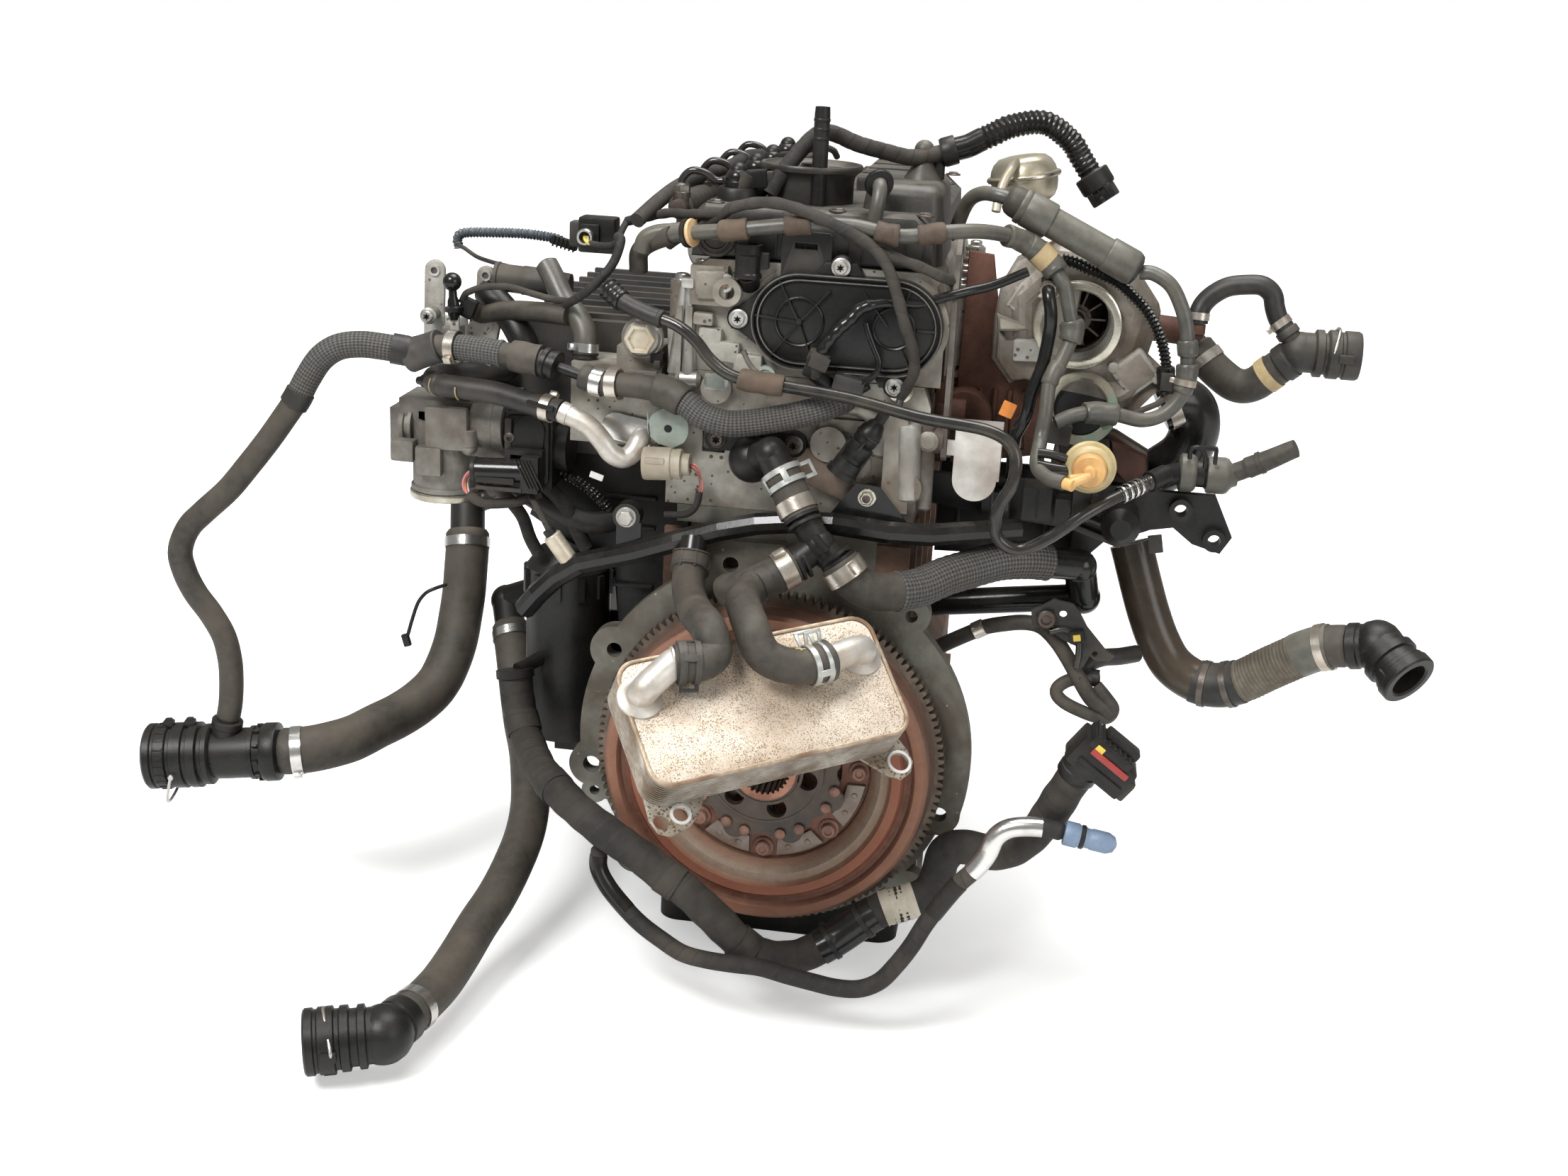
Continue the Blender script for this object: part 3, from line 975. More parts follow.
def loom_shape(s, L, a):
    """Radius of the main loom, slightly uneven."""
    return 13.8 + 0.35 * math.sin(s * 0.11) + 0.25 * math.sin(s * 0.31 + 1.0) + 0.25 * math.sin(3 * a
            + s * 0.05)


def convolutes(r, pitch=4.0, depth=1.3, lo=0, hi=1e9):
    """Radius of a ribbed conduit between lo and hi; a hi below zero counts from the end."""
    def f(s, L, a):
        if s < lo or s > (hi if hi > 0 else L + hi):
            return r - depth * 0.4
        return r - depth * (0.5 - 0.5 * math.cos(2 * math.pi * s / pitch)) ** 0.6
    return f


def plain(name, c, rough=0.45):
    """An almost even colour, for wires."""
    return mat(name, c, tuple(min(1, x * 1.25) for x in c), rough, 0.0, 200, 20,
               tuple(x * 0.6 for x in c), 0.25, 0.05, 500)


wire_col = {"grey": plain("wire_grey", (0.23, 0.23, 0.23)), "red": plain("wire_red", (0.30, 0.035, 0.03)),
            "yellow": plain("wire_yellow", (0.62, 0.46, 0.07)), "green": plain("wire_green",
        (0.05, 0.16, 0.06)), "brown": plain("wire_brown", (0.16, 0.085, 0.045)),
            "pink": plain("wire_pink", (0.52, 0.20, 0.20)), "white": plain("wire_white",
        (0.56, 0.56, 0.53)), "orange": plain("wire_orange", (0.62, 0.21, 0.04)),
            "blue": plain("wire_blue", (0.16, 0.22, 0.31))}
cream = mat("cream_plastic", (0.46, 0.42, 0.33), (0.60, 0.56, 0.47), 0.5, 0.0, 90, 14, (0.24, 0.19, 0.13),
            0.4, 0.15, 500)


def plug_look():
    """Plug of the main loom, sensor of the branch and plug of the conduit."""
    q = Piece("main_plug_look")
    e, d = end_of(LOOM)
    q.lathe(e, d, [(11, -0.3), (14.5, 0), (15.5, 1.5), (15.5, 8), (14.5, 9), (14.5, 13), (16, 14),
                   (16, 20), (12, 26)], plastic, 36)
    c = Vector((257, -67, 49))
    x = Vector((math.cos(math.radians(36)), 0, -math.sin(math.radians(36))))
    y = Vector((0, 1, 0))
    z = x.cross(y)

    def at(a, b, h):
        return c + a * x + b * y + h * z

    q.block(at(2, 0, -1), (50, 32, 26), plastic, (x, y), 3)
    q.block(at(0, 0, 12), (38, 35, 11), plastic, (x, y), 4)
    q.block(at(5, 0, 20), (30, 18, 7), plastic, (x, y), 2.5)
    for k in range(7):
        q.block(at(-16 + 5 * k, 0, 17.6), (2, 33, 2), plastic, (x, y), 0.6)
    q.block(at(4, -17.4, 6), (34, 2.4, 5), wire_col["red"], (x, y), 0.8)
    q.block(at(-9, -16.9, 9.5), (7, 2.2, 7), wire_col["yellow"], (x, y), 0.8)
    q.block(at(24, 0, -4), (16, 27, 18), satin, (x, y), 3)
    for s in (-1, 1):
        q.block(at(4, s * 17, -5), (40, 2, 4), plastic, (x, y), 0.8)
    out = [q.done("connectors")]
    q = Piece("branch_sensor_look")
    e, d = end_of(BRANCH)
    q.lathe(e, d, [(5, -0.3), (9, 0), (9.5, 1), (9.5, 10), (8.2, 12), (8.2, 16), (7.6, 17), (7.6, 20),
                   (8.2, 21), (8.2, 33), (6, 38), (2, 40)], wire_col["blue"], 28)
    q.lathe(e, d, [(8.3, 12), (9.2, 12.6), (9.2, 15), (8.3, 15.6)], plastic, 28, caps=(False, False))
    out.append(q.done("connectors"))
    q = Piece("conduit_plug_look")
    e, d = end_of(CONDUIT)
    q.lathe(e, d, [(9, -0.3), (13, 0), (14, 1), (14, 12), (13, 14), (9, 15)], plastic, 32)
    u = square_to(d)
    v = d.cross(u)
    q.block(e + 19 * d, (21, 21, 12), plastic, (u, v), 1.6)
    for k in (-6, 0, 6):
        q.block(e + 19 * d + k * v, (24, 1.6, 10), plastic, (u, v), 0.5)
    q.block(e + 22 * d, (35, 3.4, 4), plastic, (u, v), 1)
    out.append(q.done("connectors"))
    return out


tee = upper_tee()
elbow_l = lower_elbow()
elbow_c = charge_elbow()
heater_end()
plugs = plug_look()


def upper_bands(q):
    """Clamps of the upper hose."""
    for s, w in ((12, 9), (-14, 9)):
        q.band(UPPER, s, 20.3, silver, w, 0.9, angle=2.4)


def return_bands(q):
    """Braid and sleeves of the return hose."""
    q.tube(RETURN, 10.6, braided, 3, 24, part=(8, 118))
    q.tube(RETURN, 12.2, rubber_dk, 2, 24, lambda s, L, a: 12.2 - 0.5 * (s % 4 > 2.6), part=(1, 20))
    q.tube(RETURN, 11.6, rubber_dk, 3, 24, part=(112, 124))


def lower_bands(q):
    """Clamps of the lower hose."""
    q.band(LOWER, -14, 17.3, silver, 9, 0.9, angle=1.0)
    q.band(LOWER, 12, 17.3, silver, 8, 0.9, angle=2.0)


def charge_bands(q):
    """Sleeves and clamps of the charge hose."""
    q.tube(CHARGE, 17.5, pipe_muddy, 2.4, 34, part=(0, 132))
    q.tube(CHARGE, 18.4, satin, 2, 34, part=(130, 168))
    for s in (138, 158):
        q.band(CHARGE, s, 18.6, steel_dark, 5, 0.9, angle=2.6)
    q.tube(CHARGE, 17.8, sleeve_tan, 1, 30, lambda s, L, a: 17.9 - 0.7 * (0.5 + 0.5 * math.cos(s * 1.9)),
           part=(168, 222))
    q.tube(CHARGE, 18.1, olive, 2, 34, part=(222, 250))
    q.band(CHARGE, -20, 18.2, band_steel, 7, 0.9, angle=2.0)


def loom_extras(q):
    """Sleeves and turns of tape on the main loom."""
    q.tube(LOOM, 14.6, cream, 1.5, 24, lambda s, L, a: 14.9 - 0.8 * (0.5 + 0.5 * math.cos(s * 1.25)),
           part=(455, 482))
    q.tube(LOOM, 14.4, gloss, 3, 22, part=(395, 448))
    for s in (405, 436):
        q.band(LOOM, s, 14.6, plastic, 4, 1.0, angle=3.6)
    for s in (40, 120, 250, 330):
        q.band(LOOM, s, 14.2, tape, 16, 0.5, lug=False)


def branch_extras(q):
    """Sleeves of the branch cable."""
    q.tube(BRANCH, 7.6, silver, 3, 18, part=(398, 470))
    q.tube(BRANCH, 7.5, plastic, 3, 18, part=(352, 385))
    q.tube(BRANCH, 7.3, gloss, 3, 18, part=(8, 60))


declare("upper_hose_look", UPPER, 20, rubber, "upper_hose",
        extra=upper_bands)
declare("return_hose_look", RETURN, 10, rubber, "return_hose",
        extra=return_bands)
declare("lower_hose_look", LOWER, 17, rubber, "lower_hose",
        extra=lower_bands)
declare("charge_hose_look", CHARGE, 17, rubber, "charge_hose",
        extra=charge_bands)
declare("main_loom_look", LOOM, 14, tape, "main_loom", loom_shape,
        extra=loom_extras)
declare("branch_look", BRANCH, 7, tape, "branch_cable", None,
        extra=branch_extras)
declare("conduit_look", CONDUIT, 10, gloss, "conduit", convolutes(9.8, 4.2, 1.5, 22),
        step=1.05)


# ---- oil cooler -------------------------------------------------------------

COOLER_TURN = Euler([math.radians(a) for a in (42, -5, 34)]).to_matrix()


def on_cooler(x, y, z=0.0):
    """Place in the engine's axes of a point in the cooler's."""
    return Vector((15, -165, 109)) + COOLER_TURN @ Vector((x, y, z))


def cooler_dir(x, y, z):
    """Direction in the engine's axes of one in the cooler's."""
    return COOLER_TURN @ Vector((x, y, z))


def oil_cooler():
    """Stack of plates with its rim, base, ears and necks."""
    q = Piece("oil_cooler_look")
    axes = (cooler_dir(1, 0, 0), cooler_dir(0, 1, 0))
    at = on_cooler(0, 0)
    # top pan with its folded rim, then the stack of pressed plates
    q.plate(rounded_rect(196, 93, 14), 0.6, 2.8, cooler_face, axes=axes, at=at, bevel=0.5)
    rim = rounded_rect(202, 99, 16)
    q.plate(rim, -0.6, 2.9, cooler_rim, holes=[rounded_rect(196, 93, 14)[::-1]], axes=axes, at=at, bevel=0.9)
    for k in range(11):
        w = 3 * k + 3
        q.plate(rounded_rect(201.6, 98.6, 15.6), w + 0.2, w + 1.7, cooler_side, axes=axes, at=at, bevel=0.6)
        q.plate(rounded_rect(197.6, 94.6, 14.6), w + 1.5, w + 3.4, cooler_dark, axes=axes, at=at, bevel=0.2)
    base = 33.2
    q.plate(rounded_rect(200, 97, 15), base, base + 3.4, cooler_side, axes=axes, at=at, bevel=0.5)
    for ear, holes in (([(-98, -30), (-100, -57), (-97, -67), (-88, -72), (-72, -67.5), (-64, -61),
                         (-50, -40)], [(-92, -60, 5.5), (-77, -58, 5.5)]),
                       ([(60, -40), (84, -66), (93, -71), (102, -67.5), (107, -60), (106, -50),
                         (98, -24)], [(96, -58, 7)]), ([(-96, 20), (-96, 40), (-80, 44)], [])):
        q.plate(ear, base + 0.4, base + 3.6, cooler_ear, holes, axes=axes, at=at, bevel=0.6)
    for x, y, r in ((-77, -58, 5.5), (96, -58, 7)):
        q.lathe(on_cooler(x, y, -base - 0.4), cooler_dir(0, 0, 1), [(r + 0.2, 0), (r + 2.4, 0),
                (r + 2.2, 0.9), (r + 0.2, 1.0)], white_zinc, 32, closed=True)
    # bent necks with their soldered collars
    for route, x, y in ((COOLER_LEFT, -89, 20), (COOLER_RIGHT, 82, 17)):
        e, d = end_of(route)
        foot = on_cooler(x, y, 0)
        bend, low = on_cooler(x, y, (e - foot).dot(cooler_dir(0, 0, 1))), on_cooler(x, y, 5)
        arc = [e.lerp(bend, t / 7).lerp(bend.lerp(low, t / 7), t / 7) for t in range(8)]
        q.tube([e - 14 * d, e - 7 * d] + arc + [foot], 10.4, neck_metal, 1.5, 32)
        q.lathe(foot, cooler_dir(0, 0, 1), [(16.5, -0.5), (16.2, 1.2), (13.4, 2.6), (11.6, 3.2),
                                            (10.2, 5)], neck_metal, 40)
        q.lathe(e + 1.5 * d, d, [(10, -1.5), (11.6, -0.6), (11.6, 0.6), (10, 1.5)], neck_metal, 32)
    return q.done("oil_cooler")


def spring_clamp(q, P, s, r, m, angle=0.0, w=13, ear=9):
    """Spring band: two wires of flat steel joined by a pair of finger tabs."""
    p, d = at_length(P, s)
    u = square_to(d)
    v = d.cross(u)
    for side in (-1, 1):
        q.lathe(p + side * w * 0.34 * d - w * 0.14 * d, d, [(r, 0), (r + 1.3, 0), (r + 1.3, w * 0.28),
                                                            (r, w * 0.28)], m, 44, closed=True)
    for k, tall in ((-0.32, 1.0), (0.32, 0.8)):
        a = angle + k
        out = math.cos(a) * u + math.sin(a) * v
        tang = -math.sin(a) * u + math.cos(a) * v
        for side in (-1, 1):
            q.block(p + (r + ear * tall / 2) * out + side * w * 0.36 * d, (1.4, w * 0.2, ear * tall), m,
                    (tang, d), 0.4)
        q.block(p + (r + ear * tall) * out, (1.4, w * 0.92, 2.6), m, (tang, d), 0.4)
    for a in (angle + 2.2, angle + 3.6):
        out = math.cos(a) * u + math.sin(a) * v
        q.block(p + (r + 0.9) * out, (w * 0.7, 5, 1.6), m, (d, d.cross(out)), 0.4)


def hose_mark(q, P, s, r, angle, long=8, wide=1.6, across=5):
    """Cross-shaped paint mark on a hose."""
    p, d = at_length(P, s)
    out = around(d, angle)
    side = d.cross(out)
    q.block(p + (r + 0.05) * out, (long, wide, 0.5), mark, (d, side), 0.2)
    q.block(p + (r - 0.1) * out, (wide, across, 0.9), mark, (d, side), 0.2)


def swell(r, L, cuffs=((0, 14, 1.6),)):
    """Hose radius with soft cuffs: (start, length, height). A start below zero counts from the end."""
    def f(s, L, a):
        out = r
        for at, long, h in cuffs:
            lo = at if at >= 0 else L + at
            t = (s - lo) / long
            if 0 <= t <= 1:
                out += h * min(1.0, 6 * t, 6 * (1 - t))
        return out
    return f


def cooler_hoses():
    """Hoses of the cooler, outlet hose and braided hose."""
    r = 13
    q = Piece("cooler_hose_left_look")
    q.tube(COOLER_LEFT, r, rubber, 2.2, 32, swell(r, 0, ((0, 15, 1.8), (-22, 22, 0.8))))
    for s in (1.2, 15.4):
        p, d = at_length(COOLER_LEFT, s)
        q.lathe(p, d, [(r, -1), (r + 2.4, -0.6), (r + 2.6, 0.4), (r, 1)], cuff, 40)
    for a in (0.4, 1.5, 2.6, 3.7, 4.8, 5.9):
        p, d = at_length(COOLER_LEFT, 8)
        out = around(d, a)
        q.block(p + (r + 1.5) * out, (14, 2.0, 1.4), rubber, (d, d.cross(out)), 0.5)
    hose_mark(q, COOLER_LEFT, -24, r + 0.6, 1.1)
    hose_mark(q, COOLER_LEFT, -24, r + 0.6, 2.0)
    q.done("cooler_hose_left")
    q = Piece("cooler_hose_right_look")
    q.tube(COOLER_RIGHT, r, rubber, 2.2, 32, swell(r, 0, ((0, 24, 1.2), (34, 6, 1.6), (-22, 22, 0.8))))
    a = COOLER_RIGHT[1]
    q.tube([Vector(COOLER_RIGHT[0]) + Vector((-3, 0, -3)), Vector(a) + Vector((-6, 1, -4)),
            Vector((-19, -58, 155)), Vector((-33, -54, 149)), Vector((-37, -52, 146))], 13.6, rubber, 2.5,
           28, soft_end(13.6, 5))
    for k in (-27, -30):
        hose_mark(q, COOLER_RIGHT, k, r + 0.5, 1.2 + 0.1 * k)
    q.done("cooler_hose_right")
    q = Piece("outlet_hose_look")
    q.tube(OUTLET, 14, rubber, 1.6, 32, swell(14, 0, ((0, 10, 0.5),)))
    q.done("outlet_hose")
    q = Piece("braided_hose_look")
    q.tube(BRAIDED, 14.6, rubber, 2.5, 32, swell(14.6, 0, ((0, 12, 0.8),)), part=(0, 62))
    q.tube(BRAIDED, 15.2, braided, 2.5, 32, part=(58, -1), shape=lambda s, L,
           a: 15.2 + 0.25 * math.sin(s * 0.9))
    p, d = at_length(BRAIDED, 59)
    q.lathe(p, d, [(14.4, -2.4), (15.8, -1.6), (16.0, 0.8), (15.0, 1.6)], braided, 40)
    q.done("braided_hose")


def coolant_tee():
    """Moulded tee that joins three of those hoses."""
    q = Piece("coolant_tee_look")
    c = Vector((33, -46, 189))
    q.ball(c, 13, plastic, 28)
    for P, back in ((OUTLET, True), (COOLER_RIGHT, False), (BRAIDED, False)):
        e, d = end_of(P) if back else start_of(P)
        q.rod(e - 8 * d, c, 11.2, plastic)
        for k in (1.5, 6.5):
            p = e + k * d
            q.lathe(p, d, [(11, -1.6), (14.2, -1.2), (14.2, 1.2), (11, 1.6)], plastic, 36)
    q.block(c + Vector((3, -10, 5)), (14, 10, 5), plastic, tilted(-1), 1.2)
    q.done("coolant_tee")


def hose_clamps():
    """Clamps of the cooler's hoses and of the lines beside the head."""
    q = Piece("coolant_clamps_look")
    q.band(OUTLET, -8, 14.2, band_steel, 11, 1.2, True, 2.6)
    q.band(COOLER_RIGHT, 9, 14.4, band_steel, 12, 1.2, True, 4.4)
    q.band(BRAIDED, 9, 15.6, band_steel, 12, 1.2, True, 5.5)
    spring_clamp(q, OUTLET, 8, 14.6, spring_zinc, 3.3, 15, 13)
    spring_clamp(q, COOLER_LEFT, -11, 14.0, cuff, 1.5, 15, 7)
    q.band(COOLER_LEFT, -3.5, 14.0, cuff, 3.6, 1.6, False)
    spring_clamp(q, COOLER_RIGHT, -12, 14.0, spring_zinc, 4.2, 15, 12)
    q.band(COOLER_RIGHT, -4, 13.9, cuff, 4, 1.6, False)
    q.band(HEAD_LINE, 10, 11.2, band_steel, 9, 1.0, True, 2.2)
    q.band(BYPASS_LINE, -12, 9.8, band_steel, 8, 1.0, True, 4.0)
    q.band(ELBOW_LINE, -7, 9.8, silver, 7, 1.0, True, 1.0)
    q.band(JOINT_LINE, -14, 12.5, band_steel, 8, 1.0, True, 2.6)
    q.done("clamps")


cooler_hoses()
coolant_tee()
oil_cooler()
hose_clamps()


# ---- flywheel side ----------------------------------------------------------

def split_paint(node, rules, base):
    """Gives a CAD node several materials, by where each face lies (mm) and faces."""
    me = nodes[node].data
    me.materials.clear()
    for m in [base] + [r[1] for r in rules]:
        me.materials.append(m)
    for p in me.polygons:
        c = p.center / MM
        p.material_index = next((k + 1 for k, (test, _) in enumerate(rules) if test(c, p.normal)), 0)


RIVET_CIRCLE, BOLT_CIRCLE, SPRING_CIRCLE = 74, 40, 58


def flywheel_cover():
    """Plates, rivets and bolts of the flywheel, and the splines and rivets of the hub."""
    q = Piece("flywheel_plates_look", "crank")
    for i in range(8):
        a0, a1 = 45 * i + 8, 45 * i + 37
        outer = circle(0, 0, 80, 12, a0, a1)
        inner = circle(0, 0, 66, 12, a1 - 2, a0 + 2)
        q.plate(outer + inner, -29, -26.2, plate_grey, bevel=0.6)
        for a in (45 * i + 16, 45 * i + 29):
            x, z = polar(RIVET_CIRCLE, a)
            q.lathe((x, -29, z), (0, -1, 0), [(2.4, 0), (2.2, 0.8), (1.2, 1.2)], plate_grey, 14)
        x, z = polar(RIVET_CIRCLE, 45 * i)
        q.lathe((x, -26, z), (0, -1, 0), [(8.6, 0), (8.6, 1.4), (7.6, 2.2), (6.2, 2.4), (6.0, 6.0),
                                          (5.2, 7.0), (3.2, 7.2), (2.8, 6.0)], stud_rust, 26)
        x, z = polar(BOLT_CIRCLE, 45 * i)
        q.bolt((x, -20, z), (0, -1, 0), 6.5, steel_dark, 7)
    q.done("flywheel_cover")
    q = Piece("hub_spline_look", "hub")
    teeth = [((18.6 if k % 4 in (1, 2) else 20.6) * math.cos(2 * math.pi * k / 112),
              (18.6 if k % 4 in (1, 2) else 20.6) * math.sin(2 * math.pi * k / 112)) for k in range(112)]
    q.plate(circle(0, 0, 25.5, 56), -44.2, -42.8, copper, holes=[teeth[::-1]], bevel=0.3)
    for i in range(8):
        for d in (-8, 8):
            a = math.radians(-(45 * i + 22.5 + d))
            q.lathe((SPRING_CIRCLE * math.cos(a), -38.6, SPRING_CIRCLE * math.sin(a)), (0, -1, 0),
                    [(4.4, 0), (4.2, 1.0), (3.0, 1.9), (1.4, 2.1)], stud_rust, 20)
    q.lathe((0, -37.2, 0), (0, -1, 0), [(46.4, 2.6), (46.4, 3.4), (44.6, 3.4), (44.6, 2.6)], hub_dark, 72,
            closed=True)
    q.lathe((0, -40, 0), (0, -1, 0), [(31, -0.4), (31, 0.6), (28.6, 0.6), (28.6, -0.4)], hub_dark, 64,
            closed=True)
    return q.done(slot="black_steel")


split_paint("cylinder_block", [(lambda c, n: c.y < 14.3 and math.hypot(c.x, c.z) > 60, flange)], iron)
split_paint("upper_sump", [(lambda c, n: c.y < 14.3, flange)], alloy_dark)
flywheel_cover()


# ---- hoses, throttle and brackets on the left -------------------------------

def collar(q, P, s0, s1, r, m, swing=0.25):
    """Short sleeve that follows a route, with a slightly uneven skin and lips."""
    def skin(s, L, a):
        e = min(s - s0, s1 - s)
        return r + swing * math.sin(2 * a + s * 0.4) - (0.8 if e < 0.9 else 0)
    q.tube(P, r, m, 1.3, 32, skin, part=(s0, s1))


def stadium(x0, z0, x1, z1, r0, r1=None, n=14):
    """Outline round two circles."""
    r1 = r0 if r1 is None else r1
    a = math.degrees(math.atan2(z1 - z0, x1 - x0))
    return circle(x1, z1, r1, n, a - 90, a + 90) + circle(x0, z0, r0, n, a + 90, a + 270)


def screw(q, p, d, r, m, h=5.0, socket=0.5):
    """Round bolt head on a flange, with a six-lobed recess."""
    d = Vector(d).normalized()
    p = Vector(p)
    q.lathe(p, d, [(r + 1.9, 0), (r + 1.9, 0.8), (r + 1.2, 1.3), (r, 1.5), (r, h - 0.9), (r - 0.9, h),
                   (r * socket + 0.3, h)], m, 30, caps=(True, False))
    q.lathe(p + (h - 3) * d, d, [(0.2, 0), (r * socket * 0.8, 0.3), (r * socket, 3)], dark, 12,
            caps=(True, False))
    for k in range(6):
        c = around(d, math.pi * k / 3)
        q.rod(p + (h - 3) * d + c * r * socket, p + (h - 0.1) * d + c * r * socket, r * 0.16, m, n=6, soft=0)


def line_hoses():
    """Hoses and pipes beside the head and over the throttle."""
    q = Piece("head_hoses_look")
    run = [(-288, 18, 304.5)] + JOINT_LINE[-2::-1]
    q.tube(run, 9.4, rubber, 2.5, 26)
    q.tube(run, 10.3, braided, 2.2, 26, part=(14, 58))
    collar(q, run, 56, 59.5, 10.7, braided)
    collar(q, run, 68, -2, 13.2, rubber)
    a = Vector(JOINT_LINE[0])
    d = (Vector(HEAD_LINE[0]) - a).normalized()
    q.lathe(a + d, d, [(9, 0), (12.4, 0.5), (12.4, 4), (11, 5), (11, 8), (12, 8.6), (12, 12), (4.6, 13)],
            plastic, 32)
    q.rod(a + 8 * d, a + 36 * d, 4.4, plastic)
    q.lathe(a + 34 * d, d, [(4.4, 0), (9.6, 0.6), (10.2, 2), (10.2, 7), (9.2, 9), (9.2, 14)], satin, 30)
    line = [tuple(a + 38 * d)] + HEAD_LINE
    q.tube(line, 9.5, rubber, 2.4, 26, part=(0, 64))
    q.tube(line, 10.2, braided, 2.4, 28, part=(66, -1))
    collar(q, line, 58, 84, 12.6, rubber)
    q.band(line, 11, 10.0, silver, 9, 1.0, True, 2.4)
    e = Vector(RETURN[0])
    d = Vector((18, -2, 7)).normalized()
    q.lathe(e - 9 * d, d, [(10.4, 0), (13.4, 0.6), (14.0, 2), (13.2, 12), (13.0, 24), (13.6, 29),
                           (12.8, 30), (9.6, 30)], cuff, 34)
    # quick hose with its tapered end, clip and paint marks
    q.tube(BYPASS_LINE, 9.0, rubber_dk, 2.5, 26)
    collar(q, BYPASS_LINE, 88, 100, 9.9, rubber_dk, 0)
    collar(q, BYPASS_LINE, -22, -1, 9.9, rubber_dk, 0)
    q.lathe((-290, 26, 274.6), (-9, 4, -1), [(8.4, -2), (8.2, 0), (6.2, 5), (5.4, 12), (3.6, 15),
                                             (3.2, 18)], plastic, 24)
    q.ball((-305, 32, 272.6), 2.6, rust)
    for s, a0, a1 in ((97, -0.6, 1.5), (118, -0.2, 1.2)):
        p, t = at_length(BYPASS_LINE, s)
        arc = [p + 9.7 * around(t, a0 + (a1 - a0) * k / 6) for k in range(7)]
        q.tube([x - 0.1 * t for x in arc], 0.6, mark, 2, 6)
    p, t = at_length(BYPASS_LINE, -14)
    q.block(p + Vector((-2, -8, 3)), (24, 5, 4), plastic, (t, (0, 1, 0)), 0.8)
    q.block(p + Vector((6, -9, -1)), (10, 4, 9), plastic, (t, (0, 1, 0)), 0.8)
    q.tube(S_PIPE, 8.0, neck_metal, 1.6, 30)
    q.tube(S_PIPE, 8.7, neck_metal, 1.6, 30, part=(0, 7))
    q.plate(stadium(-139, 254, -114, 250, 11), 10.8, 14.8, silver, bevel=1.0)
    q.tube(UPPER_LINE, 8, rubber, 3, 22)
    q.tube(ELBOW_LINE, 9.2, hose_grey, 2, 28, soft_end(9.2, 3))
    collar(q, ELBOW_LINE, 58, -10, 9.9, hose_grey, 0)
    e, d = end_of(ELBOW_LINE)
    q.lathe(e - 5 * d, d, [(9.4, 0), (10.8, 0.5), (11, 3), (9.6, 4.5), (9.4, 7)], rubber_dk, 30)
    q.tube(SMALL_LOOP, 8, rubber_dk, 2.5, 22)
    for s in (6, -6):
        q.band(SMALL_LOOP, s, 8.1, band_steel, 6, 0.9, True, 1.2)
    q.tube(TURBO_RETURN, 5, gloss, 2.5, 18)
    q.band(TURBO_RETURN, 12, 5.2, band_steel, 5, 0.7, True, 1.0)
    q.done("head_hoses")


